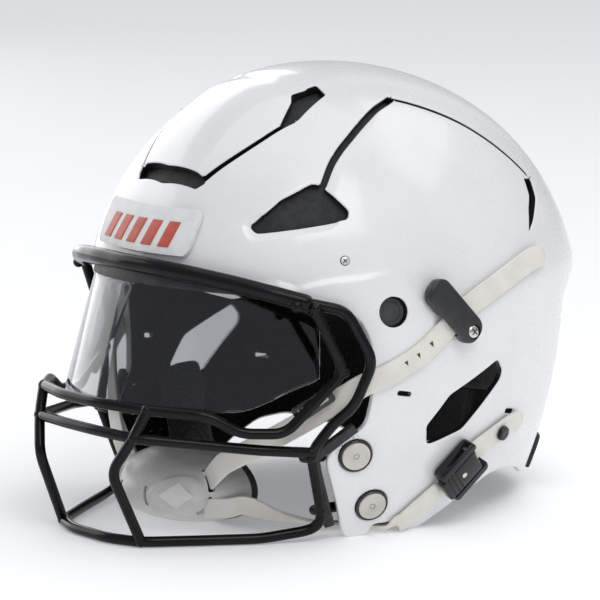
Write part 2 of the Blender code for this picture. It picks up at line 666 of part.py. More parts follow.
def clear_scene():
    for obj in list(bpy.data.objects):
        bpy.data.objects.remove(obj, do_unlink=True)


clear_scene()
helmet = bpy.data.objects.new("helmet_frame", None)
bpy.context.scene.collection.objects.link(helmet)
helmet.location = (0.0, CENTRE_Y * MM, REST_Z * MM)

make_shell()
make_nameplate()
make_rear_bumper()
make_facemask()
make_visor()
cup_solid("chin_cup", (WHITE, 0.3), (45, 46, 21.2), (42.2, 43.2, 18.4), -80)
cup_solid("chin_pad", (BLACK, 0.8), (41.2, 42.2, 17.4), (34, 35, 11.5), -73)
make_pads()
make_crown_pad()
for hand in ("left", "right"):
    add(f"jaw_edge_{hand}", jaw_edge(hand), (BLACK, 0.6))
    make_visor_clip(hand)
    make_releases(hand)
    make_side_details(hand)
    make_straps(hand)
    make_upper_buckle(hand)
    make_lower_buckle(hand)
    make_snap(hand)
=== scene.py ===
"""Looks of the american football helmet: fine pieces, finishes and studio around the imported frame.

Pieces are modelled in millimetres about the head's centre: +X is the wearer's left, -Y is forward and
+Z is up, with z = 0 at the widest level of the shell. piece() moves a finished mesh to the row frame.
"""
from math import cos, pi, radians, sin, sqrt, tan

import bmesh
import bpy
import numpy as np
from mathutils import Matrix, Vector
from mathutils.bvhtree import BVHTree
from mathutils.kdtree import KDTree


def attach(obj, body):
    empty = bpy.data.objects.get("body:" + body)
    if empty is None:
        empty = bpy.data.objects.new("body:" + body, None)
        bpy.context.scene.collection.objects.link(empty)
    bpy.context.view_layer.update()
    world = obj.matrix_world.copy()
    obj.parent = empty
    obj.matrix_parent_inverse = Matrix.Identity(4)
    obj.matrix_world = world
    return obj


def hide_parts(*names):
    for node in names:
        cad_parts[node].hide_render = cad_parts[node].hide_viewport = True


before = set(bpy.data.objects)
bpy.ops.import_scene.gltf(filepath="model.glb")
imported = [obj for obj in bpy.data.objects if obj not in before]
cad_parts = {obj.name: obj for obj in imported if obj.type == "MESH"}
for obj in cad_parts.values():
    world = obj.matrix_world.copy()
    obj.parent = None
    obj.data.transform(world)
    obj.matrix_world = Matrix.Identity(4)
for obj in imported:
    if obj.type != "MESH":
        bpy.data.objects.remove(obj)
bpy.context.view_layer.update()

# Studio
# -------------------------------------------------------------------------------------------------------
# A broad white floor, a white surround and four soft boxes. The camera's long lens stands at the left
# front quarter, a little above the brow, and looks at the head's centre. The front box only feeds gloss.
MM = 0.001
HEAD_CENTRE = Vector((0.0, 0.0021, 0.106))
CAMERA_TURN, CAMERA_RISE, CAMERA_REACH = radians(50), radians(10), 2.2
CAMERA_LENS = 235.4
CAMERA_SHIFT = (-0.0233, 0.0207)
FLOOR_HALF, FLOOR_GLOW = 14.0, 0.26
SURROUND = (0.93, 0.95, 1.0)
SURROUND_STRENGTH = 0.44


def aim(obj, turn, rise, reach, target=HEAD_CENTRE):
    """Stand obj at a turn from straight ahead and a rise above the level, facing the target."""
    away = Vector((sin(turn) * cos(rise), -cos(turn) * cos(rise), sin(rise)))
    obj.location = target + away * reach
    obj.rotation_euler = (-away).to_track_quat("-Z", "Y").to_euler()


def linked(name, data):
    """New object with its data, in the scene."""
    obj = bpy.data.objects.new(name, data)
    bpy.context.scene.collection.objects.link(obj)
    return obj


camera_data = bpy.data.cameras.new("camera")
camera_data.lens = CAMERA_LENS
camera_data.shift_x, camera_data.shift_y = CAMERA_SHIFT
camera = linked("camera", camera_data)
aim(camera, CAMERA_TURN, CAMERA_RISE, CAMERA_REACH)
bpy.context.scene.camera = camera
bpy.context.scene.view_settings.view_transform = "Standard"

# Each soft box: its turn and rise, its reach and its size in metres, and its power in watts
SOFT_BOXES = {
    "key": (radians(72), radians(48), 2.4, (1.4, 1.1), 16.0),
    "front": (radians(-84), radians(20), 2.0, (3.0, 1.8), 38.0),
    "back": (radians(165), radians(50), 2.4, (1.8, 1.0), 8.0),
    "top": (radians(20), radians(88), 2.6, (2.4, 2.4), 14.0),
}
GLOSS_BOX = "front"
for label, (turn, rise, reach, (wide, high), power) in SOFT_BOXES.items():
    lamp = bpy.data.lights.new(f"{label}_box", "AREA")
    lamp.shape = "RECTANGLE"
    lamp.size, lamp.size_y = wide, high
    lamp.energy = power
    box = linked(f"{label}_box", lamp)
    aim(box, turn, rise, reach)
    box.visible_diffuse = label != GLOSS_BOX

world = bpy.data.worlds.new("surround")
world.use_nodes = True
background = world.node_tree.nodes["Background"]
background.inputs["Color"].default_value = (*SURROUND, 1.0)
background.inputs["Strength"].default_value = SURROUND_STRENGTH
bpy.context.scene.world = world


class Socket:
    """A node's output that takes part in Python expressions on values."""

    def __init__(self, finish, socket):
        self.finish = finish
        self.socket = socket

    def maths(self, operation, *values):
        return self.finish.node("Math", dict(enumerate(values)), operation=operation)

    def __add__(self, other):
        return self.maths("ADD", self, other)

    def __sub__(self, other):
        return self.maths("SUBTRACT", self, other)

    def __rsub__(self, other):
        return self.maths("SUBTRACT", other, self)

    def __mul__(self, other):
        return self.maths("MULTIPLY", self, other)

    __radd__ = __add__
    __rmul__ = __mul__


class Finish:
    """A material with one Principled shader, and the nodes that vary it."""

    def __init__(self, name, colour, **fixed):
        self.material = bpy.data.materials.new(name)
        self.material.use_nodes = True
        self.tree = self.material.node_tree
        self.shader = self.tree.nodes["Principled BSDF"]
        self.shader.inputs["Base Color"].default_value = (*colour, 1.0)
        for socket, value in fixed.items():
            self.shader.inputs[socket.replace("_", " ")].default_value = value

    def node(self, kind, values=(), out=0, **settings):
        """Add a node, make its settings, then give its sockets values or links."""
        made = self.tree.nodes.new(f"ShaderNode{kind}")
        for setting, value in settings.items():
            setattr(made, setting, value)
        for socket, value in dict(values).items():
            if isinstance(value, Socket):
                self.tree.links.new(value.socket, made.inputs[socket])
            else:
                made.inputs[socket].default_value = value
        return Socket(self, made.outputs[out])

    def feed(self, **links):
        """Link sockets into the Principled shader."""
        for socket, value in links.items():
            self.tree.links.new(value.socket, self.shader.inputs[socket.replace("_", " ")])
        return self

    def here(self):
        """Object coordinates, in metres in the row frame."""
        return self.node("TexCoord", out="Object")

    def noise(self, per_metre, detail=3.0):
        """Soft noise from 0 to 1, with this many swells to a metre."""
        values = {"Vector": self.here(), "Scale": per_metre, "Detail": detail, "Roughness": 0.5}
        return self.node("TexNoise", values, out="Fac")

    def between(self, value, low, high, to_low=0.0, to_high=1.0):
        """Ease a value's span from low to high onto another span."""
        values = {"Value": value, "From Min": low, "From Max": high, "To Min": to_low, "To Max": to_high}
        return self.node("MapRange", values, interpolation_type="SMOOTHSTEP", clamp=True)

    def blend(self, amount, one, two):
        """Colour that goes from one to two as amount goes from 0 to 1."""
        one, two = (c if isinstance(c, Socket) else (*c, 1.0) for c in (one, two))
        return self.node("Mix", {0: amount, 6: one, 7: two}, out=2, data_type="RGBA")

    def bumps(self, height, depth):
        """Normal of a height from 0 to 1 that is depth metres tall."""
        return self.node("Bump", {"Height": height, "Distance": depth, "Strength": 1.0})


def drawn(name, bm):
    """Mesh of a bmesh, which is freed."""
    mesh = bpy.data.meshes.new(name)
    bm.to_mesh(mesh)
    bm.free()
    return mesh


ground = bmesh.new()
bmesh.ops.create_grid(ground, x_segments=2, y_segments=2, size=FLOOR_HALF)
floor = linked("floor", drawn("floor", ground))
floor_finish = Finish("floor_paint", (0.92, 0.92, 0.92), Roughness=0.75,
                      Emission_Color=(0.95, 0.97, 1.0, 1.0), Emission_Strength=FLOOR_GLOW)
floor_finish.feed(Roughness=floor_finish.between(floor_finish.noise(6.0), 0.3, 0.7, 0.7, 0.8))
floor.data.materials.append(floor_finish.material)

# Shell
# -------------------------------------------------------------------------------------------------------
# One moulding of 4 mm polycarbonate in satin white. A fine ball is drawn onto the skin's form, cut along
# the outline of each opening, embossed, rolled over at every edge, and given its inner wall.
# The inner side and the walls of the vents are painted near black as painted shade.
HALF_WIDTH, FRONT, BACK, CROWN, WALL = 120.0, 133.0, 168.0, 140.0, 4.0
SIDE_TUCK, FRONT_TUCK, NAPE_TUCK = 0.0022, 0.0006, 0.0014
NAPE_STEP, NAPE_STEP_TOP, NAPE_SLOPE = 14.0, 28.0, 0.10
JAW_BOTTOM, REAR_BOTTOM, STRAP_NOTCH = -106.0, -97.0, -99.6
CUP_RADIUS, EAR_HOLE_RADIUS, SCREW_BORE, GAP = 9.2, 8.2, 2.6, 0.3

# Outlines on the left side as (y, z), or on the crown as (x, y); the right side mirrors them
TRIM_LINE = ((-220, 40), (-126, 39), (-96, 33), (-70, 25), (-58, 17), (-53, 5), (-51, -25),
             (-53, -41), (-64, -50), (-71, -58), (-69, -66), (-56, -98), (-52, JAW_BOTTOM),
             (-38.5, JAW_BOTTOM), (-37.5, STRAP_NOTCH), (-15.5, STRAP_NOTCH), (-14.5, JAW_BOTTOM),
             (-7, JAW_BOTTOM), (4, -100), (20, -91), (40, -82), (58, -80), (76, -85), (92, -93),
             (110, REAR_BOTTOM), (220, REAR_BOTTOM), (220, -220), (-220, -220))
EAR_VENT = ((33, -14), (38, -21), (36, -26), (9, -50), (-14, -56), (-17, -45), (-3, -29))
SIDE_VENT = ((-96, 66), (-95, 62.5), (-54, 69), (-52, 73), (-60, 86), (-64, 87), (-80, 79))
SLIT = ((-60, 85), (-51, 96), (-41, 104), (-24, 114), (-8, 121), (10, 125))
CROWN_SLIT = ((54, 10), (60, 29), (65, 48), (70, 66), (73, 80), (75, 93))
REAR_VENT = ((86, 77), (95, 75), (92, 66), (80, 56), (71, 50), (78, 62), (84, 68))
FLEX_SLOT = ((-29, -100), (-24, -99), (0, -101), (24, -99), (29, -100), (25, -104), (0, -107), (-25, -104))
FLEX_SLIT = ((27, -100), (36, -85), (41, -73), (44, -60), (46, -52))
TOP_VENT = ((43, -60), (36, -46), (31, -42), (32, -25), (41, -26), (47, -51))
EAR_HOLE, UPPER_RELEASE, LOWER_RELEASE, SHELL_SCREW = (-40, 20), (-56, -58), (-41, -88), (-61, 48)
EDGE_SLOTS, EDGE_SLOT_HALF, EDGE_SLOT_WIDE = ((-33, -25), (49, -46)), (4.0, -0.8), 2.6
SLIT_WIDE, FLEX_SLIT_WIDE, CROWN_LEVEL = 2.4, 2.0, 20.0


def smooth(x):
    """Ease from 0 to 1 as x goes from 0 to 1."""
    x = min(1.0, max(0.0, x))
    return x * x * (3 - 2 * x)


def section(z, offset=0.0):
    """Half width, front reach and back reach of the skin at height z, moved outwards by offset."""
    if z > 0:
        round_off = sqrt(max(0.0, 1 - (z / (CROWN + offset)) ** 2))
        step = NAPE_STEP * (1 - smooth(z / NAPE_STEP_TOP))
        return ((HALF_WIDTH + offset) * round_off, (FRONT + offset) * round_off,
                (BACK + offset) * round_off - step)
    return (HALF_WIDTH - SIDE_TUCK * z * z + offset, FRONT - FRONT_TUCK * z * z + offset,
            BACK - NAPE_STEP + NAPE_SLOPE * z - NAPE_TUCK * z * z + offset)


def ring_point(turn, z, offset=0.0):
    """Point of the skin at a turn from straight ahead, towards the wearer's left."""
    width, front, back = section(z, offset)
    return Vector((width * sin(turn), -(front if cos(turn) > 0 else back) * cos(turn), z))


def side(y, z, offset=0.0):
    """Point of the left side of the skin at y and z."""
    width, front, back = section(z, offset)
    return Vector((width * sqrt(max(0.0, 1 - (y / (front if y < 0 else back)) ** 2)), y, z))


def forehead(x, z, offset=0.0):
    """Point of the front of the skin at x and z."""
    width, front, back = section(z, offset)
    return Vector((x, -front * sqrt(max(0.0, 1 - (x / width) ** 2)), z))


def outward(where, u, v):
    """Unit normal of the skin where where(u, v) is."""
    here = where(u, v)
    normal = (where(u + 0.5, v) - here).cross(where(u, v + 0.5) - here).normalized()
    return normal if normal.dot(here) > 0 else -normal


def lifted(where, u, v, lift):
    return where(u, v) + outward(where, u, v) * lift


def seat_on(where, u, v, lift=0.0, along=(1.0, 0.0)):
    """Matrix whose Z is the skin's normal and whose X follows a direction in u and v."""
    z_axis = outward(where, u, v)
    step = where(u + along[0], v + along[1]) - where(u, v)
    x_axis = (step - z_axis * step.dot(z_axis)).normalized()
    turn = Matrix((x_axis, z_axis.cross(x_axis), z_axis)).transposed().to_4x4()
    return Matrix.Translation(where(u, v) + z_axis * lift) @ turn


def rounded(path, radius, closed=False, steps=4):
    """Path with each corner turned into a short curve."""
    points = [Vector(p) for p in path]
    count = len(points)
    out = [] if closed else [points[0]]
    for i in range(0 if closed else 1, count if closed else count - 1):
        before, here, after = points[i - 1], points[i], points[(i + 1) % count]
        start = here + (before - here).normalized() * min(radius, (before - here).length * 0.45)
        end = here + (after - here).normalized() * min(radius, (after - here).length * 0.45)
        for k in range(steps + 1):
            t = k / steps
            out.append(start * (1 - t) ** 2 + here * 2 * t * (1 - t) + end * t * t)
    return out if closed else out + [points[-1]]


def stroke(path, width):
    """Outline of a narrow slit of even width along a path."""
    left, right = [], []
    for i, point in enumerate(path):
        along = Vector(path[min(i + 1, len(path) - 1)]) - Vector(path[max(i - 1, 0)])
        across = Vector((-along.y, along.x)).normalized() * (width / 2)
        left.append(Vector(point) + across)
        right.append(Vector(point) - across)
    return left + right[::-1]


def circle(radius, sides):
    return [(radius * cos(2 * pi * k / sides), radius * sin(2 * pi * k / sides)) for k in range(sides)]


def hole(centre, radius, sides=36):
    """Outline on the side of a round hole square to the skin."""
    seat = seat_on(side, *centre)
    return [(seat @ Vector((*spot, 0))).yz for spot in circle(radius, sides)]


def inside(outline, u, v):
    """Which of the points (u, v) are inside an outline, as an array of booleans."""
    found = np.zeros(len(u), bool)
    for (u0, v0), (u1, v1) in zip(outline, list(outline[1:]) + [outline[0]]):
        if v0 != v1:
            crossing = u0 + (v - v0) * (u1 - u0) / (v1 - v0)
            found ^= ((v0 > v) != (v1 > v)) & (u < crossing)
    return found


def away_from(points, line):
    """Distance of each point to a polyline, as an array."""
    nearest = np.full(len(points), 1e9)
    for one, two in zip(line, line[1:]):
        one, two = np.array(one), np.array(two)
        run = two - one
        t = np.clip((points - one) @ run / max(run @ run, 1e-9), 0, 1)
        nearest = np.minimum(nearest, np.linalg.norm(points - one - t[:, None] * run, axis=1))
    return nearest


def ease(x):
    """smooth() for arrays."""
    x = np.clip(x, 0, 1)
    return x * x * (3 - 2 * x)


side_outlines = [rounded(EAR_VENT, 2.0, closed=True), rounded(SIDE_VENT, 1.6, closed=True),
                 stroke(rounded(SLIT, 8.0), SLIT_WIDE), rounded(REAR_VENT, 1.4, closed=True),
                 hole(EAR_HOLE, EAR_HOLE_RADIUS), hole(UPPER_RELEASE, CUP_RADIUS + GAP),
                 hole(LOWER_RELEASE, CUP_RADIUS + GAP), hole(SHELL_SCREW, SCREW_BORE, 20)]
for y, z in EDGE_SLOTS:
    half_y, half_z = EDGE_SLOT_HALF
    line = ((y - half_y, z - half_z), (y + half_y, z + half_z))
    side_outlines.append(rounded(stroke(line, EDGE_SLOT_WIDE), 1.1, closed=True))
crown_outlines = [stroke(rounded(CROWN_SLIT, 8.0), SLIT_WIDE),
                  stroke(rounded(FLEX_SLIT, 8.0), FLEX_SLIT_WIDE),
                  rounded(TOP_VENT, 1.6, closed=True), rounded(FLEX_SLOT, 1.4, closed=True)]
trim_outline = rounded(TRIM_LINE, 4.0, closed=True, steps=3)

# Folds and steps of the moulding: the raised cheek panel, the scooped lip below the side vent, the
# chamfer behind the slit, the proud flex panel with its crease, the crown's step and the small dishes
CHEEK_PANEL = ((-140, 36), (-98.5, 36), (-92, 37), (-86, 34.2), (-75, 37), (-55, 39.3), (-38, 41.5),
               (-33.5, 37.5), (-27.8, 30.7), (-20.6, 23.7), (-14, 17.3), (-16, 8), (-30, -4), (-60, -14),
               (-120, -20))
CHEEK_RISE, CHEEK_SLOPE = 1.3, 5.0
VENT_LIP = ((-88.5, 72.3), (-95, 70.2), (-98.9, 65), (-98.8, 59), (-97.3, 57.2), (-78, 61.6), (-64, 63.4),
            (-52.2, 72.6))
VENT_EDGE = ((-88.5, 72.1), (-96, 66), (-95, 62.5), (-54, 69), (-52, 73))
VENT_DROP = 2.2
SLIT_LIP = ((-56.8, 79.3), (-48, 92.3), (-38.8, 100.6), (-22.6, 111.2), (-7.4, 119), (10, 124.6))
SLIT_DROP = 1.4
CREASE = ((21.5, -102.6), (22.5, -91), (22, -73), (24, -57), (33, -41.5))
FLEX_FRONT, FLEX_REAR = (0, -104), ((34, -26), (0, -26))
FLEX_TIP = ((38, -44), (44.5, -57), (44, -60))
FLEX_RISE = 2.2
CROWN_STEP = ((33, -32), (33, -12), (36, 8), (44, 40), (52, 75), (56, 110), (50, 150))
CROWN_RISE, CROWN_SLOPE, TOP_LEVEL = 1.1, 8.0, 60.0
# Where a raised part of the crown fades out or in: y at the start, and how far the fade runs
FLEX_FADE, STEP_FADE_IN, STEP_FADE_OUT = (-50, 22), (-42, 14), (95, 45)
RELEASE_DISH, RELEASE_DISH_RADIUS, RELEASE_DISH_EDGE = 0.6, 10.0, 6.0
EAR_DISH, EAR_DISH_REACH, EAR_HOLLOW = 1.1, 9.0, ((-17, -56), (-23, -63))
BALL_CUTS, FINER_WITHIN = 45, (5.5, 2.2)
ROLL, INNER_ROLL, ROLL_SPREAD, RIM_EASINGS = 0.9, 0.5, 5.0, 3
VENT_CLEAR = 2.0


def on_skin(direction):
    """Point of the skin that a unit direction from the head's centre is drawn onto."""
    width, front, back = section(CROWN * direction.z)
    plan = Vector((direction.x, direction.y, 0.0)).normalized()
    return Vector((width * plan.x, (front if plan.y < 0 else back) * plan.y, CROWN * direction.z))


def seen_from_side(points):
    return points[:, 1:]


def seen_from_top(points):
    return np.column_stack((np.abs(points[:, 0]), points[:, 1]))


def closed(outline):
    return [tuple(p) for p in outline] + [tuple(outline[0])]


def edge_distance(points):
    """How far each point of the skin is from the nearest outline or fold, seen square on."""
    nearest = np.full(len(points), 1e9)
    for line in [closed(o) for o in side_outlines + [trim_outline]] + [CHEEK_PANEL, VENT_LIP, SLIT_LIP]:
        nearest = np.minimum(nearest, away_from(seen_from_side(points), line))
    on_top = np.full(len(points), 1e9)
    for line in [closed(o) for o in crown_outlines] + [CREASE]:
        on_top = np.minimum(on_top, away_from(seen_from_top(points), line))
    return np.where(points[:, 2] > CROWN_LEVEL, np.minimum(nearest, on_top), nearest)


def score(bm, outline, u, v, reach=2.0):
    """Cut new edges into the half ball's faces along a closed outline in the axes u and v."""
    middles = np.array([f.calc_center_median() for f in bm.faces])
    flat = middles[:, (u, v)]
    close = away_from(flat, closed(outline)) < 2 * reach
    if v == 1:
        close &= middles[:, 2] > CROWN_LEVEL
    faces = [f for f, near in zip(bm.faces[:], close) if near]
    spots = [tuple(spot) for spot in flat[close]]
    for one, two in zip(outline, list(outline[1:]) + [outline[0]]):
        run = Vector(two) - Vector(one)
        length = run.length
        if length < 1e-6:
            continue
        run /= length
        at = np.array(spots) - np.array(one)
        along = at @ np.array(run)
        across = np.abs(at[:, 0] * run.y - at[:, 1] * run.x)
        picked = np.nonzero((along > -reach) & (along < length + reach) & (across < reach))[0]
        parts = {p for k in picked for f in [faces[k]] for p in [f, *f.edges, *f.verts]}
        normal = Vector((0, 0, 0))
        normal[u], normal[v] = run.y, -run.x
        point = Vector((0, 0, 0))
        point[u], point[v] = one[0], one[1]
        made = bmesh.ops.bisect_plane(bm, geom=list(parts), dist=0.03, plane_co=point, plane_no=normal)
        known = {faces[k] for k in picked}
        for k in picked:
            middle = faces[k].calc_center_median()
            spots[k] = (middle[u], middle[v])
        for part in made["geom"]:
            if isinstance(part, bmesh.types.BMFace) and part not in known:
                middle = part.calc_center_median()
                faces.append(part)
                spots.append((middle[u], middle[v]))


def fade(values, span):
    """Ease each value from 0 to 1 over a span of start and length."""
    return ease((values - span[0]) / span[1])


def emboss(points):
    """Height of each point of the skin above the plain form, as an array."""
    seen = seen_from_side(points)
    y, z = seen[:, 0], seen[:, 1]
    x = np.abs(points[:, 0])
    edge = away_from(seen, CHEEK_PANEL)
    signed = np.where(inside(CHEEK_PANEL, y, z), edge, -edge)
    height = CHEEK_RISE * ease(0.5 + signed / CHEEK_SLOPE)
    for lip, mouth, drop in ((VENT_LIP, VENT_EDGE, VENT_DROP), (SLIT_LIP, SLIT, SLIT_DROP)):
        area = list(lip) + list(mouth)[::-1]
        from_lip, from_mouth = away_from(seen, lip), away_from(seen, mouth)
        share = from_lip / np.maximum(from_lip + from_mouth, 1e-6)
        height -= np.where(inside(area, y, z), drop * share, 0.0)
    top = points[:, 2] > TOP_LEVEL
    plan = seen_from_top(points)
    facet = list(CREASE + FLEX_TIP) + list(FLEX_SLIT)[-2::-1]
    from_crease, from_slit = away_from(plan, CREASE), away_from(plan, FLEX_SLIT)
    share = from_slit / np.maximum(from_crease + from_slit, 1e-6)
    middle = inside([FLEX_FRONT, *CREASE, *FLEX_REAR], x, y)
    flex = np.where(inside(facet, x, y), share, np.where(middle, 1.0, 0.0))
    height += np.where(top, FLEX_RISE * flex * (1 - fade(y, FLEX_FADE)), 0.0)
    step = away_from(plan, CROWN_STEP)
    band = inside([(0, CROWN_STEP[0][1]), *CROWN_STEP, (0, CROWN_STEP[-1][1])], x, y)
    shown = fade(y, STEP_FADE_IN) * (1 - fade(y, STEP_FADE_OUT))
    height += np.where(top, CROWN_RISE * ease(0.5 + np.where(band, step, -step) / CROWN_SLOPE) * shown, 0.0)
    for centre in (UPPER_RELEASE, LOWER_RELEASE):
        off = np.hypot(y - centre[0], z - centre[1])
        height -= RELEASE_DISH * (1 - fade(off, (RELEASE_DISH_RADIUS, RELEASE_DISH_EDGE)))
    return height - EAR_DISH * (1 - ease(away_from(seen, EAR_HOLLOW) / EAR_DISH_REACH))


ball = bmesh.new()
bmesh.ops.create_cube(ball, size=2.0)
bmesh.ops.subdivide_edges(ball, edges=ball.edges[:], cuts=BALL_CUTS, use_grid_fill=True)
for vert in ball.verts:
    vert.co = Vector([tan(c * pi / 4) for c in vert.co]).normalized()
unused = [f for f in ball.faces if f.calc_center_median().z < (JAW_BOTTOM - 4) / CROWN
          or f.calc_center_median().x < 0]
bmesh.ops.delete(ball, geom=unused, context="FACES")
for reach in FINER_WITHIN:
    middles = np.array([on_skin(f.calc_center_median().normalized()) for f in ball.faces])
    near = edge_distance(middles) < reach
    split = {e for f, close in zip(ball.faces, near) if close for e in f.edges}
    bmesh.ops.subdivide_edges(ball, edges=list(split), cuts=1, use_grid_fill=True)
    for vert in ball.verts:
        vert.co.normalize()
for vert in ball.verts:
    vert.co = on_skin(vert.co)

for outline in side_outlines + [trim_outline]:
    score(ball, outline, 1, 2)
for outline in crown_outlines:
    score(ball, outline, 0, 1)
middles = np.array([f.calc_center_median() for f in ball.faces])
gone = np.zeros(len(middles), bool)
for outline in side_outlines + [trim_outline]:
    gone |= inside(outline, middles[:, 1], middles[:, 2])
for outline in crown_outlines:
    gone |= inside(outline, np.abs(middles[:, 0]), middles[:, 1]) & (middles[:, 2] > CROWN_LEVEL)
bmesh.ops.delete(ball, geom=[f for f, out in zip(ball.faces[:], gone) if out], context="FACES")
bmesh.ops.mirror(ball, geom=ball.verts[:] + ball.edges[:] + ball.faces[:], axis="X", merge_dist=0.01)
bmesh.ops.remove_doubles(ball, verts=[v for v in ball.verts if abs(v.co.x) < 0.01], dist=0.01)
bmesh.ops.recalc_face_normals(ball, faces=ball.faces)


def even_out(rim):
    """Ease the small steps out of a cut edge."""
    beside = {}
    for e in rim:
        for vert in e.verts:
            beside.setdefault(vert, []).append(e.other_vert(vert))
    for _ in range(RIM_EASINGS):
        spots = {vert: vert.co * 0.5 + sum((n.co for n in near), Vector()) * (0.5 / len(near))
                 for vert, near in beside.items()}
        for vert, spot in spots.items():
            vert.co = spot


def ways_off(rim):
    """Unit direction along the sheet and off its edge, at each vertex of the edge."""
    off_edge = {}
    for e in rim:
        one, two = e.verts
        normal = (one.normal + two.normal).normalized()
        out = (two.co - one.co).cross(normal)
        if out.dot((one.co + two.co) / 2 - e.link_faces[0].calc_center_median()) < 0:
            out = -out
        for vert in (one, two):
            off_edge[vert] = off_edge.get(vert, Vector((0, 0, 0))) + out
    return {vert: out.normalized() for vert, out in off_edge.items()}


def draw_in(bm, off_edge, roll, spread):
    """Draw a sheet in at its edges, to leave room for the roll, and less and less over the spread."""
    edge_verts = list(off_edge)
    edges_tree = KDTree(len(edge_verts))
    for k, vert in enumerate(edge_verts):
        edges_tree.insert(vert.co, k)
    edges_tree.balance()
    for vert in bm.verts:
        _, k, gap = edges_tree.find(vert.co)
        if gap < spread:
            vert.co += off_edge[edge_verts[k]] * (-roll * (1 - smooth(gap / spread)))


def thickened(bm, wall, roll, inner_roll, spread, relief):
    """Roll a sheet over at its edges, emboss it and give it an inner wall, as one closed body, with painted
    shade marked on the inner wall and the vents' walls.
    """
    # Painted shade: 1 on the inner wall and on the vents' walls past their roll, 0 on the outer skin and the
    # trim's walls
    painted_shade = bm.verts.layers.float.new("painted_shade")
    bm.normal_update()
    if sum(v.normal.dot(v.co) for v in bm.verts) < 0:
        bmesh.ops.reverse_faces(bm, faces=bm.faces)
        bm.normal_update()
    rim = [e for e in bm.edges if e.is_boundary]
    even_out(rim)
    off_edge = ways_off(rim)
    rim_verts = list(off_edge)
    draw_in(bm, off_edge, roll, spread)
    inner_spots = [vert.co - vert.normal * wall for vert in bm.verts]
    heights = relief(np.array([vert.co for vert in bm.verts]))
    for vert, height in zip(bm.verts, heights):
        vert.co += vert.normal * float(height)
    bm.normal_update()
    flat = np.array([v.co for v in rim_verts])
    # Rims away from the face opening's trim are vents, and their walls get painted shade
    vent = away_from(seen_from_side(flat), closed(trim_outline)) > VENT_CLEAR
    outer = {v: (v.co.copy(), v.normal.copy(), off_edge[v], 1.0 if is_vent else 0.0)
             for v, is_vent in zip(rim_verts, vent)}
    sheet = bm.verts[:]
    made = bmesh.ops.duplicate(bm, geom=sheet + bm.edges[:] + bm.faces[:])
    twin = made["vert_map"]
    for vert, spot in zip(sheet, inner_spots):
        twin[vert].co = spot
        twin[vert][painted_shade] = 1.0
    bmesh.ops.reverse_faces(bm, faces=[g for g in made["geom"] if isinstance(g, bmesh.types.BMFace)])
    owner = {v: v for v in rim_verts}
    row, last_row = rim, set(rim_verts)
    over = [(roll * sin(radians(a)), -roll * (1 - cos(radians(a))), False) for a in (30, 60, 90)]
    under = [(roll, inner_roll, True), (roll * 0.6, inner_roll * 0.2, True)]
    for reach, rise, from_inside in over + under + [(0.0, 0.0, True)]:
        grown = bmesh.ops.extrude_edge_only(bm, edges=row)["geom"]
        row = [g for g in grown if isinstance(g, bmesh.types.BMEdge)]
        fresh = [g for g in grown if isinstance(g, bmesh.types.BMVert)]
        for vert in fresh:
            source = next(e.other_vert(vert) for e in vert.link_edges if e.other_vert(vert) in last_row)
            owner[vert] = owner[source]
            spot, normal, out, is_vent = outer[owner[vert]]
            base = twin[owner[vert]].co if from_inside else spot
            vert.co = base + out * reach + normal * rise
            vert[painted_shade] = is_vent if from_inside or reach >= roll * 0.99 else 0.0
        last_row = set(fresh)
    bmesh.ops.weld_verts(bm, targetmap={vert: twin[owner[vert]] for vert in fresh})
    bmesh.ops.dissolve_degenerate(bm, dist=0.001, edges=bm.edges)
    bmesh.ops.recalc_face_normals(bm, faces=bm.faces)
    return bm


thickened(ball, WALL, ROLL, INNER_ROLL, ROLL_SPREAD, emboss)


def moved(bm, matrix):
    bmesh.ops.transform(bm, matrix=matrix, verts=bm.verts)
    return bm


def piece(name, bm, finish, slot, body="helmet", stands_for=(), sharp=40, weighted=False):
    """Turn a bmesh in millimetres about the head's centre into a finished piece that rides on a body."""
    mesh = drawn(name, moved(bm, Matrix.Translation(HEAD_CENTRE) @ Matrix.Scale(MM, 4)))
    mesh.shade_smooth()
    mesh.set_sharp_from_angle(angle=radians(sharp))
    mesh.materials.append(finish.material)
    obj = linked(name, mesh)
    if weighted:
        step = obj.modifiers.new("weighted", "WEIGHTED_NORMAL")
        step.keep_sharp = True
    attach(obj, body)
    if stands_for:
        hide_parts(*stands_for)
    return obj


def stand_in(node, word, bm, finish, slot, **how):
    """Piece that takes the place of one CAD node, and is named after it."""
    return piece(f"{node}_{word}", bm, finish, slot, stands_for=(node,), **how)


shell_finish = Finish("shell_white", (0.8, 0.8, 0.8), Coat_Weight=0.5, Coat_Roughness=0.08)
# Painted shade: the attribute made in thickened() turns the inner side and the vents' walls near black
painted_shade_mask = shell_finish.node("Attribute", out="Fac", attribute_name="painted_shade")
mottle = shell_finish.between(shell_finish.noise(30.0), 0.35, 0.65)
white = shell_finish.blend(mottle, (0.80, 0.805, 0.81), (0.83, 0.833, 0.836))
shell_finish.feed(
    Base_Color=shell_finish.blend(shell_finish.between(painted_shade_mask, 0.25, 0.75), white, (0.008, 0.008, 0.009)),
    Roughness=shell_finish.between(shell_finish.noise(900.0, 5.0), 0.3, 0.7, 0.26, 0.36),
    Normal=shell_finish.bumps(shell_finish.noise(420.0, 2.0), 0.00002))
piece("moulded_shell", ball, shell_finish, "shell_white", stands_for=("shell",), weighted=True)

# Liner backing
# -------------------------------------------------------------------------------------------------------
# A thin dark foam sheet bonded inside the shell, above the face opening. It closes the vents and slits
# against dirt, a few millimetres behind them.
LINING_BOTTOM, LINING_SKIN, LINING_THICK = 47.0, -5.15, 0.6


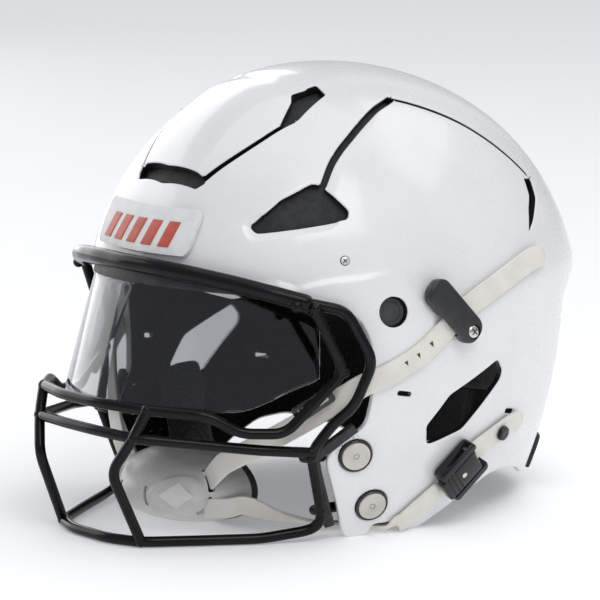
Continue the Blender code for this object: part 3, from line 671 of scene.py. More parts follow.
def stuff(name, dark, light, grain, rough, depth, **fixed):
    """Finish of an even moulded, coated or foamed stuff: two close tones, a fine grain and its gloss."""
    finish = Finish(name, light, **fixed)
    tone = finish.between(finish.noise(grain / 9), 0.35, 0.65)
    fine = finish.noise(grain, 4.0)
    return finish.feed(Base_Color=finish.blend(tone, dark, light),
                       Roughness=finish.between(fine, 0.3, 0.7, *rough),
                       Normal=finish.bumps(fine, depth))


lining = bmesh.new()
bmesh.ops.create_uvsphere(lining, u_segments=80, v_segments=48, radius=1.0)
bmesh.ops.bisect_plane(lining, geom=lining.verts[:] + lining.edges[:] + lining.faces[:],
                       plane_co=(0, 0, LINING_BOTTOM / CROWN), plane_no=(0, 0, 1), clear_inner=True)
for vert in lining.verts:
    vert.co = on_skin(vert.co.normalized())
lining.normal_update()
for vert in lining.verts:
    vert.co += vert.normal * LINING_SKIN
bmesh.ops.solidify(lining, geom=lining.faces[:], thickness=-LINING_THICK)
bmesh.ops.recalc_face_normals(lining, faces=lining.faces)
backing_foam = stuff("backing_foam", (0.013, 0.014, 0.015), (0.024, 0.025, 0.027), 1600.0, (0.62, 0.8),
                     0.0002)
piece("liner_backing", lining, backing_foam, "liner_foam")

# Liner pads
# -------------------------------------------------------------------------------------------------------
# Soft foam pads in black knit covers, held in the shell by their backs: brow, rear, crown, temples and
# jaws, and the one in the chin cup. Each is swollen from its solid, and then its channels are sewn in.
PAD_VOXEL, PAD_INSET, PAD_PRESSURE, PAD_FRAMES = 0.005, 0.0012, 4.0, 20
PAD_CAP, PAD_CLEAR, CHANNEL_DEPTH, CHANNEL_WIDTH = 0.0045, 0.0003, 0.0026, 0.0032
PAD_EASINGS, FACES_SHELL, KNIT_PER_METRE = 2, 0.6, 850.0
# Each pad's channels: an axis of the row frame, and where on it they lie, in metres from the head's centre
PAD_CHANNELS = {
    "front_pad": ((0, -0.045), (0, -0.016), (0, 0.016), (0, 0.045)),
    "rear_pad": ((0, -0.05), (0, 0.0), (0, 0.05), (2, -0.03), (2, 0.004), (2, 0.036)),
    "crown_pad": ((0, -0.02), (0, 0.02), (1, -0.018), (1, 0.02)),
    "side_pad_left": ((1, -0.028), (1, 0.004), (1, 0.036)),
    "side_pad_right": ((1, -0.028), (1, 0.004), (1, 0.036)),
    "jaw_pad_left": ((2, -0.066),),
    "jaw_pad_right": ((2, -0.066),),
    "chin_pad": ((0, -0.014), (0, 0.014)),
}


def settled(obj):
    """Mesh of an object with its modifiers applied; the object itself is removed."""
    depsgraph = bpy.context.evaluated_depsgraph_get()
    mesh = bpy.data.meshes.new_from_object(obj.evaluated_get(depsgraph))
    bpy.data.objects.remove(obj)
    return mesh


knit = Finish("pad_knit", (0.02, 0.02, 0.022), Sheen_Weight=0.3, Sheen_Roughness=0.5)
cells = knit.node("TexVoronoi", {"Vector": knit.here(), "Scale": KNIT_PER_METRE, "Randomness": 0.35})
pile = knit.between(cells, 0.1, 0.6)
wear = knit.between(knit.noise(45.0, 4.0), 0.35, 0.7)
knit_colour = knit.blend(pile, knit.blend(wear, (0.030, 0.031, 0.033), (0.042, 0.043, 0.045)),
                         (0.007, 0.007, 0.008))
knit.feed(Base_Color=knit_colour, Roughness=knit.between(wear, 0.0, 1.0, 0.72, 0.88),
          Normal=knit.bumps(1 - pile, 0.00035))

pads, solids = {}, {}
for node in PAD_CHANNELS:
    bm = bmesh.new()
    bm.from_mesh(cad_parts[node].data)
    bmesh.ops.remove_doubles(bm, verts=bm.verts, dist=0.00002)
    bmesh.ops.recalc_face_normals(bm, faces=bm.faces)
    solids[node] = BVHTree.FromBMesh(bm)
    bm.normal_update()
    for vert in bm.verts:
        vert.co += vert.normal * -PAD_INSET
    start = linked(f"{node}_start", drawn(node, bm))
    remesh = start.modifiers.new("voxels", "REMESH")
    remesh.mode = "VOXEL"
    remesh.voxel_size = PAD_VOXEL
    pads[node] = linked(f"{node}_cover", settled(start))
for pad in pads.values():
    cloth = pad.modifiers.new("cloth", "CLOTH")
    cloth.settings.use_pressure = True
    cloth.settings.uniform_pressure_force = PAD_PRESSURE
    cloth.settings.effector_weights.gravity = 0.0
    cloth.point_cache.frame_end = PAD_FRAMES
for number in range(1, PAD_FRAMES + 1):
    bpy.context.scene.frame_set(number)
for node, pad in pads.items():
    rest = [vert.co.copy() for vert in pad.data.vertices]
    swollen = settled(pad)
    bm = bmesh.new()
    bm.from_mesh(swollen)
    for vert, start in zip(bm.verts, rest):
        move = vert.co - start
        vert.co = start + move.normalized() * min(move.length, PAD_CAP)
    for _ in range(PAD_EASINGS):
        bmesh.ops.smooth_vert(bm, verts=bm.verts, factor=0.5, use_axis_x=True, use_axis_y=True,
                              use_axis_z=True)
    bm.normal_update()
    for vert in bm.verts:
        near, face_normal, _, gap = solids[node].find_nearest(vert.co)
        shell_side = face_normal.dot(near - HEAD_CENTRE) > FACES_SHELL * (near - HEAD_CENTRE).length
        if shell_side and (vert.co - near).dot(face_normal) > -PAD_CLEAR:
            vert.co = near - face_normal * PAD_CLEAR
        elif not shell_side:
            for axis, at in PAD_CHANNELS[node]:
                off = abs(vert.co[axis] - HEAD_CENTRE[axis] - at) / CHANNEL_WIDTH
                along = 1 - abs(vert.normal[axis])
                vert.co -= vert.normal * (CHANNEL_DEPTH * along * max(0.0, 1 - off * off / 4) ** 2)
    moved(bm, Matrix.Scale(1 / MM, 4) @ Matrix.Translation(-HEAD_CENTRE))
    cover = stand_in(node, "cover", bm, knit, "chin_foam" if node == "chin_pad" else "liner_foam", sharp=180)
    fine = cover.modifiers.new("fine", "SUBSURF")
    fine.levels = fine.render_levels = 1

# Front nameplate
# -------------------------------------------------------------------------------------------------------
# A soft off-white rubber bumper over the brow, with a raised rim and a row of plain red slanted bars
# moulded on. Two screws under the brow bar hold it.
PLATE_HALF, PLATE_MIDDLE, PLATE_LOW, PLATE_HIGH = (47.5, 11.8), (0.0, 59.8), 0.9, 3.8
PLATE_FLARE, PLATE_CORNER, PLATE_EDGE = 0.05, 5.5, 1.1
MARKS, MARK_PITCH, MARK_HALF, MARK_DROP, MARK_LEAN = 5, 14.5, (4.4, 6.6), 0.6, 0.4
MARK_LOW, MARK_HIGH = 3.4, 4.3


def on_front(u, v, offset=0.0):
    """Point of the front skin, u millimetres round from the middle."""
    return ring_point(u / FRONT, v, offset)


def soften(bm, offset, turn=50, segments=3, picked=None):
    """Round off the edges of a solid that turn by more than an angle, or the picked edges."""
    edges = picked or [e for e in bm.edges if e.is_manifold and e.calc_face_angle(0) > radians(turn)]
    bmesh.ops.bevel(bm, geom=edges, offset=offset, affect="EDGES", segments=segments, profile=0.5,
                    material=-1, clamp_overlap=True)
    return bm


def slab(where, middle, half, cells, low, high, corner=0.0, edge=0.0, shape=None):
    """Plate on a surface, from offset low to high, with rounded corners and a rounded edge."""
    bm = bmesh.new()
    bmesh.ops.create_grid(bm, x_segments=cells[0], y_segments=cells[1], size=1.0)
    bmesh.ops.scale(bm, vec=(half[0], half[1], 1.0), verts=bm.verts)
    if corner:
        corners = [v for v in bm.verts if len(v.link_faces) == 1]
        bmesh.ops.bevel(bm, geom=corners, offset=corner, affect="VERTICES", segments=4, profile=0.5,
                        material=-1)
    for vert in bm.verts:
        u, v = shape(vert.co.x, vert.co.y) if shape else (vert.co.x, vert.co.y)
        vert.co = where(middle[0] + u, middle[1] + v, low)
    face = bm.faces[:][0]
    face.normal_update()
    if face.normal.dot(where(*middle, high) - where(*middle, low)) < 0:
        bmesh.ops.reverse_faces(bm, faces=bm.faces)
    bm.normal_update()
    bmesh.ops.solidify(bm, geom=bm.faces[:], thickness=low - high)
    bmesh.ops.recalc_face_normals(bm, faces=bm.faces)
    return soften(bm, edge) if edge else bm


plate_rubber = stuff("plate_rubber", (0.74, 0.74, 0.73), (0.79, 0.79, 0.78), 1300.0, (0.42, 0.55), 0.00006)
mark_red = stuff("mark_red", (0.47, 0.075, 0.05), (0.55, 0.095, 0.065), 1300.0, (0.4, 0.52), 0.00005)
plate = slab(on_front, PLATE_MIDDLE, PLATE_HALF, (26, 4), PLATE_LOW, PLATE_HIGH, PLATE_CORNER, PLATE_EDGE,
             shape=lambda u, v: (u * (1 + PLATE_FLARE * v / PLATE_HALF[1]), v))
piece("brow_plate", plate, plate_rubber, "nameplate_rubber", stands_for=("front_nameplate",))
for k in range(MARKS):
    middle = ((k - MARKS // 2) * MARK_PITCH, PLATE_MIDDLE[1] - MARK_DROP)
    mark = slab(on_front, middle, MARK_HALF, (4, 4), MARK_LOW, MARK_HIGH, edge=0.25,
                shape=lambda u, v: (u + MARK_LEAN * v, v))
    piece(f"brow_plate_bar_{k + 1}", mark, mark_red, "nameplate_rubber")

# Rear bumper and jaw edging
# -------------------------------------------------------------------------------------------------------
# A black rubber bumper glued across the nape with a raised band, and dark rubber strips that edge the
# front of the jaw flaps, where the mask's side bars would rub.
NAPE_HALF, NAPE_MIDDLE, NAPE_LOW, NAPE_HIGH = (90.0, 9.5), (0.0, -85.5), 0.9, 3.2
NAPE_BAND_HALF, NAPE_BAND_LOW, NAPE_BAND_HIGH = (80.0, 4.6), 2.8, 3.8
NAPE_REACH = 152.0
JAW_LINE = ((-54.5, -42), (-65.5, -51.5), (-72.5, -58), (-70.3, -67), (-57.5, -98.5))
JAW_STRIP, JAW_STRIP_CORNER, JAW_STRIP_BACK, JAW_STRIP_LIFT = (5.6, 4.4), 1.0, 3.8, -1.8


def on_nape(u, v, offset=0.0):
    """Point of the rear skin, u millimetres round from the middle."""
    return ring_point(pi - u / NAPE_REACH, v, offset)


def seats_on(points, normals=None, ring=False):
    """Seats along a run: Z follows the run, and Y its normals, or turns as little as it can."""
    points = [Vector(p) for p in points]
    last = len(points) - 1
    seats, across = [], None
    for i, point in enumerate(points):
        after = points[(i + 1) % len(points)] if ring else points[min(i + 1, last)]
        before = points[i - 1] if ring else points[max(i - 1, 0)]
        along = (after - before).normalized()
        if normals:
            across = Vector(normals[i]).cross(along)
        across = across or along.orthogonal()
        across = (across - along * across.dot(along)).normalized()
        turn = Matrix((across, along.cross(across), along)).transposed().to_4x4()
        seats.append(Matrix.Translation(point) @ turn)
    return seats


def swept(bm, seats, outline, ring=False):
    """Draw a closed outline along a run of seats."""
    verts = [bm.verts.new(seats[0] @ Vector((*p, 0.0))) for p in outline]
    row = first = [bm.edges.new(pair) for pair in zip(verts, verts[1:] + verts[:1])]
    for one, two in zip(seats, seats[1:]):
        grown = bmesh.ops.extrude_edge_only(bm, edges=row)["geom"]
        row = [g for g in grown if isinstance(g, bmesh.types.BMEdge)]
        fresh = [g for g in grown if isinstance(g, bmesh.types.BMVert)]
        bmesh.ops.transform(bm, matrix=two @ one.inverted(), verts=fresh)
    if ring:
        bmesh.ops.bridge_loops(bm, edges=first + row)
    else:
        bmesh.ops.contextual_create(bm, geom=first)
        bmesh.ops.contextual_create(bm, geom=row)
    bmesh.ops.recalc_face_normals(bm, faces=bm.faces)
    return bm


def bar_outline(wide, thick, corner):
    """Outline of a rounded bar."""
    corners = [(-wide / 2, -thick / 2, 0), (wide / 2, -thick / 2, 0), (wide / 2, thick / 2, 0),
               (-wide / 2, thick / 2, 0)]
    return [p.xy for p in rounded(corners, corner, closed=True, steps=3)]


def handed(bm, sign):
    """The same shape for the wearer's left (1) or right (-1) side."""
    if sign < 0:
        bmesh.ops.scale(bm, vec=(-1, 1, 1), verts=bm.verts)
        bmesh.ops.reverse_faces(bm, faces=bm.faces)
    return bm


HANDS = (("left", 1), ("right", -1))
black_rubber = stuff("black_rubber", (0.018, 0.018, 0.019), (0.032, 0.032, 0.034), 900.0, (0.5, 0.68),
                     0.00012)
bumper = slab(on_nape, NAPE_MIDDLE, NAPE_HALF, (40, 4), NAPE_LOW, NAPE_HIGH, corner=4.0, edge=0.9)
piece("nape_bumper", bumper, black_rubber, "edge_rubber", stands_for=("rear_bumper",))
band = slab(on_nape, NAPE_MIDDLE, NAPE_BAND_HALF, (36, 3), NAPE_BAND_LOW, NAPE_BAND_HIGH, corner=2.5,
            edge=0.4)
piece("nape_bumper_band", band, black_rubber, "edge_rubber")
for hand, sign in HANDS:
    run = [(p.x - JAW_STRIP_BACK, p.y) for p in rounded([(*p, 0) for p in JAW_LINE], 3.0)]
    seats = seats_on([lifted(side, y, z, JAW_STRIP_LIFT) for y, z in run],
                     [outward(side, y, z) for y, z in run])
    strip = swept(bmesh.new(), seats, bar_outline(*JAW_STRIP, JAW_STRIP_CORNER))
    piece(f"jaw_strip_{hand}", handed(strip, sign), black_rubber, "edge_rubber",
          stands_for=(f"jaw_edge_{hand}",))

# Quick releases
# -------------------------------------------------------------------------------------------------------
# Two on each jaw flap. A black cup is pressed into the flap, and a sprung disc of satin warm grey metal,
# turned with a small ring at its middle, is pushed in with a tool to free the mask.
CUP_DEPTH, CUP_BORE, CUP_FLOOR, CUP_TOP = 11.0, 8.3, -6.6, 0.6
BUTTON_RADIUS, BUTTON_LOW, BUTTON_TOP = 8.0, -2.7, 0.9


def turned(profile, seat=None, sides=64):
    """Solid turned about a seat's Z axis from a profile of radius and height that starts and ends on it."""
    bm = bmesh.new()
    verts = [bm.verts.new((r, 0, z)) for r, z in profile]
    edges = [bm.edges.new(pair) for pair in zip(verts, verts[1:])]
    bmesh.ops.spin(bm, geom=verts + edges, cent=(0, 0, 0), axis=(0, 0, 1), angle=2 * pi, steps=sides,
                   use_merge=True)
    bmesh.ops.remove_doubles(bm, verts=bm.verts, dist=0.0005)
    bmesh.ops.dissolve_degenerate(bm, dist=0.0005, edges=bm.edges)
    bmesh.ops.recalc_face_normals(bm, faces=bm.faces)
    return moved(bm, seat) if seat else bm


black_plastic = stuff("black_plastic", (0.010, 0.010, 0.011), (0.018, 0.018, 0.019), 700.0, (0.22, 0.36),
                      0.00003, Coat_Weight=0.3, Coat_Roughness=0.15)
disc_grey = stuff("disc_grey", (0.55, 0.52, 0.48), (0.62, 0.59, 0.54), 800.0, (0.3, 0.42), 0.00003,
                  Metallic=0.15)
CUP_PROFILE = ((0, -CUP_DEPTH), (CUP_RADIUS - 0.5, -CUP_DEPTH), (CUP_RADIUS, 0.5 - CUP_DEPTH),
               (CUP_RADIUS, CUP_TOP - 0.3), (CUP_RADIUS - 0.25, CUP_TOP), (CUP_BORE + 0.25, CUP_TOP),
               (CUP_BORE, CUP_TOP - 0.3), (CUP_BORE, CUP_FLOOR), (0, CUP_FLOOR))
BUTTON_PROFILE = ((0, BUTTON_LOW), (BUTTON_RADIUS - 0.2, BUTTON_LOW), (BUTTON_RADIUS, BUTTON_LOW + 0.2),
                  (BUTTON_RADIUS, BUTTON_TOP - 0.5), (BUTTON_RADIUS - 0.15, BUTTON_TOP - 0.15),
                  (BUTTON_RADIUS - 0.5, BUTTON_TOP), (BUTTON_RADIUS - 1.1, BUTTON_TOP),
                  (2.4, BUTTON_TOP - 0.25), (2.15, BUTTON_TOP - 0.1), (1.8, BUTTON_TOP - 0.1),
                  (1.65, BUTTON_TOP - 0.75), (1.1, BUTTON_TOP - 0.75), (1.0, BUTTON_TOP - 0.3),
                  (0, BUTTON_TOP - 0.2))
for level, spot in (("upper", UPPER_RELEASE), ("lower", LOWER_RELEASE)):
    for hand, sign in HANDS:
        seat = seat_on(side, *spot)
        stand_in(f"release_cup_{level}_{hand}", "turned", handed(turned(CUP_PROFILE, seat), sign),
                 black_plastic, "buckle_black", sharp=35)
        button = f"release_button_{level}_{hand}"
        stand_in(button, "disc", handed(turned(BUTTON_PROFILE, seat), sign), disc_grey, "button_silver",
                 body=button, sharp=35)

# Temple plugs and shell screws
# -------------------------------------------------------------------------------------------------------
# A charcoal plastic plug sits deep in the round hole by each ear. A cross-head screw of plated steel on
# each side, above it, holds the liner's rail.
PLUG_PROFILE = ((0, -6.0), (7.7, -6.0), (7.7, -3.0), (7.3, -2.6), (5.6, -2.6), (5.2, -3.3), (0, -3.4))
SCREW_PROFILE = ((0, -8.0), (1.9, -8.0), (1.9, -0.6), (2.25, -0.6), (2.3, -0.1), (2.0, 0.3), (1.2, 0.48),
                 (0, 0.5))
SCREW_ALONG = (0.8, 0.6)
# A screw's recess: the head's top, the level its painted-shade floor is set from, the slots' width and reach,
# and depth
SCREW_RECESS = (0.5, 0.5, 0.55, 1.5, 1.1)


def box_of(size, low=0.0, shift=(0.0, 0.0), seat=None, corner=0.0, edge=0.0):
    """Block that stands on a seat, with upright corners and then all other edges rounded."""
    bm = bmesh.new()
    bmesh.ops.create_cube(bm, size=1.0)
    bmesh.ops.scale(bm, vec=size, verts=bm.verts)
    bmesh.ops.translate(bm, vec=(*shift, low + size[2] / 2), verts=bm.verts)
    if corner:
        upright = [e for e in bm.edges if abs(e.verts[0].co.z - e.verts[1].co.z) > size[2] / 2]
        soften(bm, corner, segments=8, picked=upright)
    if edge:
        soften(bm, edge)
    return moved(bm, seat) if seat else bm


def carved(bm, *cutters):
    """Take each cutter's solid out of a solid."""
    for cutter in cutters:
        whole, tool = linked("whole", drawn("whole", bm)), linked("tool", drawn("tool", cutter))
        cut = whole.modifiers.new("cut", "BOOLEAN")
        cut.operation, cut.solver, cut.object = "DIFFERENCE", "EXACT", tool
        mesh = settled(whole)
        bpy.data.objects.remove(tool)
        bm = bmesh.new()
        bm.from_mesh(mesh)
    return bm


def fit_screw(node, sign, seat, profile, recess, finish):
    """Cross-head screw on a seat, and a black block in its recess just under the head's top, as painted
    shade.
    """
    top, painted_shade_top, wide, reach, depth = recess
    arms = [box_of((*size, depth + 2), low=top - depth) for size in ((reach * 2, wide), (wide, reach * 2))]
    head = moved(carved(turned(profile, sides=32), *arms), seat)
    stand_in(node, "head", handed(head, sign), finish, "nickel")
    # Painted shade: a black cross fills the floor of the slots, where the metal would fall dark
    painted_shade = box_of((reach * 2 - 0.04, wide - 0.04, 0.5), low=painted_shade_top - 0.75)
    painted_shade.from_mesh(drawn("arm", box_of((wide - 0.04, reach * 2 - 0.04, 0.48), low=painted_shade_top - 0.76)))
    piece(f"{node}_cross", handed(moved(painted_shade, seat), sign), black_plastic, "buckle_black")


plug_grey = stuff("plug_grey", (0.040, 0.042, 0.044), (0.055, 0.057, 0.06), 800.0, (0.45, 0.6), 0.00008)
nickel = stuff("nickel_plate", (0.62, 0.61, 0.58), (0.70, 0.69, 0.66), 1500.0, (0.16, 0.3), 0.00003,
               Metallic=1.0)
screw_paint = stuff("screw_paint", (0.62, 0.62, 0.62), (0.7, 0.7, 0.7), 900.0, (0.25, 0.4), 0.00003,
                    Metallic=0.4)
for hand, sign in HANDS:
    plug = turned(PLUG_PROFILE, seat_on(side, *EAR_HOLE), sides=48)
    stand_in(f"temple_plug_{hand}", "disc", handed(plug, sign), plug_grey, "plug_grey")
    seat = seat_on(side, *SHELL_SCREW, along=SCREW_ALONG)
    fit_screw(f"shell_screw_{hand}", sign, seat, SCREW_PROFILE, SCREW_RECESS, screw_paint)

# Face mask
# -------------------------------------------------------------------------------------------------------
# A cage of round steel bars in gloss black powder coat. The bars are bent, crossed and welded, with a
# bead of weld at each joint; the brow bar is the thick one. It lifts off when its releases are pressed.
BAR_RADIUS, BROW_BAR_RADIUS, BAR_BEND, STUB_BEND, TUBE_SIDES = 2.9, 4.6, 7.0, 3.0, 28
BROW_OFF = 6.4
BROW_LINE = ((0, 43), (25, 42.5), (48, 40.5), (68, 37), (84, 32.5), (96, 28))
BROW_CORNER = Vector((108, -68, 23))
OUTER_BAR = ((117, -57, -4), (112, -66, -28), (102, -72, -38), (94, -81, -54), (88, -68, -93),
             (83, -71, -99.5), (70, -96, -102.9), (53, -123, -102.9), (35, -150, -102.9),
             (15, -157.6, -102.9))
EYE_BAR = ((101, -84, 25), (106, -68, -10), (92, -97, -42), (80, -118, -41), (70, -132, -31), (46, -154, -29),
           (16, -164, -28))
MOUTH_BAR = ((94, -81, -54), (83, -107, -51), (42, -160, -44), (12, -165, -43))
UPRIGHT_BAR = ((46, -154, -29), (42, -160, -44), (32, -167.4, -63), (35, -150, -102.9))
UPPER_STUB = ((93.8, -81, -57), (85.5, -80, -58), (83.5, -65, -60))
LOWER_STUB = ((88.8, -69.7, -88), (81.5, -69.5, -89), (80, -52, -90))
WELDS = ((101, -84, 25), (106, -68, -10), (94, -81, -54), (46, -154, -29), (42, -160, -44),
         (35, -150, -102.7), (93.8, -81, -57), (88.8, -69.7, -88), (96, -92.5, 26.5))
WELD_RADIUS = 3.15


def opposite(path):
    """The same path on the wearer's other side, run backwards."""
    return [Vector((-x, y, z)) for x, y, z in path[::-1]]


def bent_bar(path, radius, bend, ring=False):
    """Bent round bar, with its ends rounded over."""
    points = rounded([Vector(p) for p in path], bend, closed=ring, steps=6)
    seats = seats_on(points, ring=ring)
    if not ring:
        ends = []
        for seat, way in ((seats[0], -1), (seats[-1], 1)):
            caps = [seat @ Matrix.Translation((0, 0, way * radius * sin(a))) @ Matrix.Scale(cos(a), 4)
                    for a in (radians(25), radians(50), radians(70), radians(82))]
            ends.append(caps)
        seats = ends[0][::-1] + seats + ends[1]
    return swept(bmesh.new(), seats, circle(radius, TUBE_SIDES), ring=ring)


coated_steel = stuff("coated_steel", (0.004, 0.004, 0.0045), (0.007, 0.007, 0.008), 500.0, (0.16, 0.26),
                     0.00004, Specular_IOR_Level=0.2)
brow_line = [forehead(x, z, BROW_OFF) for x, z in BROW_LINE]
outer_line = brow_line[1:] + [BROW_CORNER] + [Vector(p) for p in OUTER_BAR]
bars = {
    "rim": ([brow_line[0]] + outer_line + opposite(outer_line), BAR_RADIUS, BAR_BEND, True),
    "brow": (opposite(brow_line[1:]) + brow_line, BROW_BAR_RADIUS, BAR_BEND, False),
    "eye": (list(EYE_BAR) + opposite(EYE_BAR), BAR_RADIUS, BAR_BEND, False),
    "mouth": (list(MOUTH_BAR) + opposite(MOUTH_BAR), BAR_RADIUS, BAR_BEND, False),
}
for label, path, bend in (("upright", UPRIGHT_BAR, BAR_BEND), ("upper_stub", UPPER_STUB, STUB_BEND),
                          ("lower_stub", LOWER_STUB, STUB_BEND)):
    bars[f"{label}_left"] = (path, BAR_RADIUS, bend, False)
    bars[f"{label}_right"] = (opposite(path)[::-1], BAR_RADIUS, bend, False)
for label, how in bars.items():
    piece(f"mask_bar_{label}", bent_bar(*how), coated_steel, "mask_steel", body="mask",
          stands_for=("facemask",))
beads = bmesh.new()
for spot in WELDS:
    for x in (spot[0], -spot[0]):
        bmesh.ops.create_icosphere(beads, subdivisions=3, radius=WELD_RADIUS,
                                   matrix=Matrix.Translation((x, *spot[1:])))
piece("mask_weld_beads", beads, coated_steel, "mask_steel", body="mask")

# Visor and its clips
# -------------------------------------------------------------------------------------------------------
# A curved clear polycarbonate shield with a rounded edge, inside the mask's eye port. Its tails are held
# to the side bars by black plates, each with a plain light strip and two small grey bars.
VISOR_HALF_TURN, VISOR_THICK, VISOR_CORNER, VISOR_EDGE, VISOR_CELLS = radians(62), 2.2, 0.09, 0.5, (72, 16)
# Half width and front reach at the foot and how much less they are at the top, and the lower and upper edge
VISOR_WIDTH, VISOR_REACH, VISOR_LOW, VISOR_HIGH, VISOR_DIP = (104.0, 12.0), (156.0, 20.0), -32.0, 34.0, 17.0
TAIL_LIFT, TAIL_FROM, TAIL_TURN = 15.0, radians(42), radians(22)
SEAL_MIDDLE, SEAL_HALF, SEAL_LOW, SEAL_HIGH = (0.0, 1.06), (0.93, 0.11), -3.4, 0.9
CLIP_FROM, CLIP_TO, CLIP_DEEP = Vector((104, -74.5, -22)), Vector((95.5, -91, -33.5)), 6.4
CLIP_OUT, CLIP_WIDE, CLIP_THICK = Vector((0.86, -0.5, 0.0)), 9.0, 3.0
STRIP_SIZE, STRIP_SHIFT, STRIP_LOW = (0.5, 4.0, 0.5), -2.5, 2.8
SMALL_BAR_SIZE, SMALL_BARS_AT, SMALL_BAR_LOW = (1.5, 5.6, 0.9), (6.2, 8.6), 2.6


def on_visor(u, v, offset=0.0):
    """Point of the visor's sheet; u goes from -1 to 1 round it, and v from -1 to 1 up it."""
    turn, t = u * VISOR_HALF_TURN, (v + 1) / 2
    low = VISOR_LOW + TAIL_LIFT * smooth((abs(turn) - TAIL_FROM) / TAIL_TURN)
    high = VISOR_HIGH - VISOR_DIP * (1 - cos(turn))
    width, reach = (full - less * t + offset for full, less in (VISOR_WIDTH, VISOR_REACH))
    return Vector((width * sin(turn), -reach * cos(turn), low + (high - low) * t))


visor_clear = Finish("visor_clear", (0.62, 0.64, 0.66), Transmission_Weight=1.0, IOR=1.5,
                     Specular_IOR_Level=0.3)
smear = visor_clear.between(visor_clear.noise(14.0, 2.0), 0.3, 0.7)
visor_clear.feed(Base_Color=visor_clear.blend(smear, (0.34, 0.35, 0.36), (0.39, 0.40, 0.41)),
                 Roughness=visor_clear.between(visor_clear.noise(60.0), 0.3, 0.7, 0.015, 0.04))
shield = slab(on_visor, (0.0, 0.0), (1.0, 1.0), VISOR_CELLS, -VISOR_THICK, 0.0, VISOR_CORNER, VISOR_EDGE)
piece("visor_shield", shield, visor_clear, "visor_clear", body="mask", stands_for=("visor",), sharp=60)
seal = slab(on_visor, SEAL_MIDDLE, SEAL_HALF, (60, 2), SEAL_LOW, SEAL_HIGH, edge=0.6)
piece("visor_brow_seal", seal, black_rubber, "edge_rubber", body="mask")

clip_along = (CLIP_TO - CLIP_FROM).normalized()
clip_out = (CLIP_OUT - clip_along * CLIP_OUT.dot(clip_along)).normalized()
clip_turn = Matrix((clip_along, clip_out.cross(clip_along), clip_out)).transposed().to_4x4()
clip_seat = Matrix.Translation((CLIP_FROM + CLIP_TO) / 2 - clip_out * CLIP_DEEP) @ clip_turn
clip_length = (CLIP_TO - CLIP_FROM).length + 2
strip_pale = stuff("strip_pale", (0.50, 0.50, 0.49), (0.6, 0.6, 0.59), 900.0, (0.35, 0.5), 0.00003)
clip_grey = stuff("clip_grey", (0.20, 0.205, 0.21), (0.26, 0.265, 0.27), 900.0, (0.35, 0.5), 0.00003)
for hand, sign in HANDS:
    clip = box_of((clip_length, CLIP_WIDE, CLIP_THICK), seat=clip_seat, corner=2.0, edge=0.6)
    stand_in(f"visor_clip_{hand}", "plate", handed(clip, sign), black_plastic, "buckle_black", body="mask")
    strip = box_of((clip_length * STRIP_SIZE[0], *STRIP_SIZE[1:]), low=STRIP_LOW, shift=(STRIP_SHIFT, 0),
                   seat=clip_seat, corner=0.6, edge=0.15)
    piece(f"visor_clip_{hand}_strip", handed(strip, sign), strip_pale, "strap_urethane", body="mask")
    for k, x in enumerate(SMALL_BARS_AT, start=1):
        small = box_of(SMALL_BAR_SIZE, low=SMALL_BAR_LOW, shift=(x, 0), seat=clip_seat, corner=0.5, edge=0.2)
        piece(f"visor_clip_{hand}_bar_{k}", handed(small, sign), clip_grey, "plug_grey", body="mask")

# Straps
# -------------------------------------------------------------------------------------------------------
# Supple cream urethane-coated webbing: an upper strap from the ear to the chin cup through the keeper, a
# short rear strap with a round end on a stud, and a jaw strap from the cam buckle under the jaw.
STRAP_WIDE, JAW_STRAP_WIDE, STRAP_THICK, STRAP_SEAT, STRAP_CORNER = 12.4, 11.0, 2.0, 2.3, 0.7
UPPER_STRAP = ((72, 37), (60, 36), (35, 29), (20, 24), (10, 20), (2, 16), (-6, 11), (-25, -3), (-38, -10),
               (-47, -14))
UPPER_STRAP_INSIDE = (((109, -56.5, -18), (0.9, -0.45, 0.0)), ((101.5, -65, -25), (0.72, -0.6, 0.2)),
                      ((86, -78, -38), (0.6, -0.6, 0.4)), ((68, -90, -51), (0.55, -0.65, 0.4)),
                      ((49, -101, -63), (0.5, -0.7, 0.4)), ((43.5, -103, -67.5), (0.5, -0.6, 0.5)),
                      ((35, -103.5, -75.5), (0.45, -0.6, 0.6)))
REAR_STRAP = ((54, -52), (46, -53), (34, -57), (22.5, -61.5), (19.3, -63.4))
JAW_STRAP = ((-2, -82.5), (-9, -88), (-16, -94), (-20.5, -98.5))
JAW_STRAP_UNDER = (((98.2, -23.4, -100.2), (0.9, 0.0, -0.4)), ((94.0, -25.2, -102.2), (0.0, 0.0, -1.0)),
                   ((86.0, -29.0, -102.0), (-0.1, 0.0, -1.0)), ((78, -40, -101.2), (0.0, -0.1, -1.0)),
                   ((68, -57, -100), (0.2, -0.2, -1.0)), ((58, -75, -95.5), (0.5, -0.3, -0.8)),
                   ((50, -90, -89), (0.8, -0.4, -0.3)), ((45.5, -99, -90), (0.8, -0.6, -0.1)),
                   ((35.5, -107, -90.4), (0.7, -0.7, -0.1)))
SIZE_MARKS, SIZE_MARK_TURN, SIZE_MARK_RADIUS = ((-19.5, 1.6), (-27.5, -3.6), (-34.5, -7.2)), radians(210), 1.6


def eased(stations, steps=5):
    """Smooth run through stations of point and normal."""
    out = []
    padded = [stations[0], *stations, stations[-1]]
    for four in zip(padded, padded[1:], padded[2:], padded[3:]):
        for k in range(steps):
            t = k / steps
            weights = (-t + 2 * t ** 2 - t ** 3, 2 - 5 * t ** 2 + 3 * t ** 3, t + 4 * t ** 2 - 3 * t ** 3,
                       t ** 3 - t ** 2)
            out.append([sum((station[j] * share for station, share in zip(four, weights)), Vector()) / 2
                        for j in (0, 1)])
    return out + [list(stations[-1])]


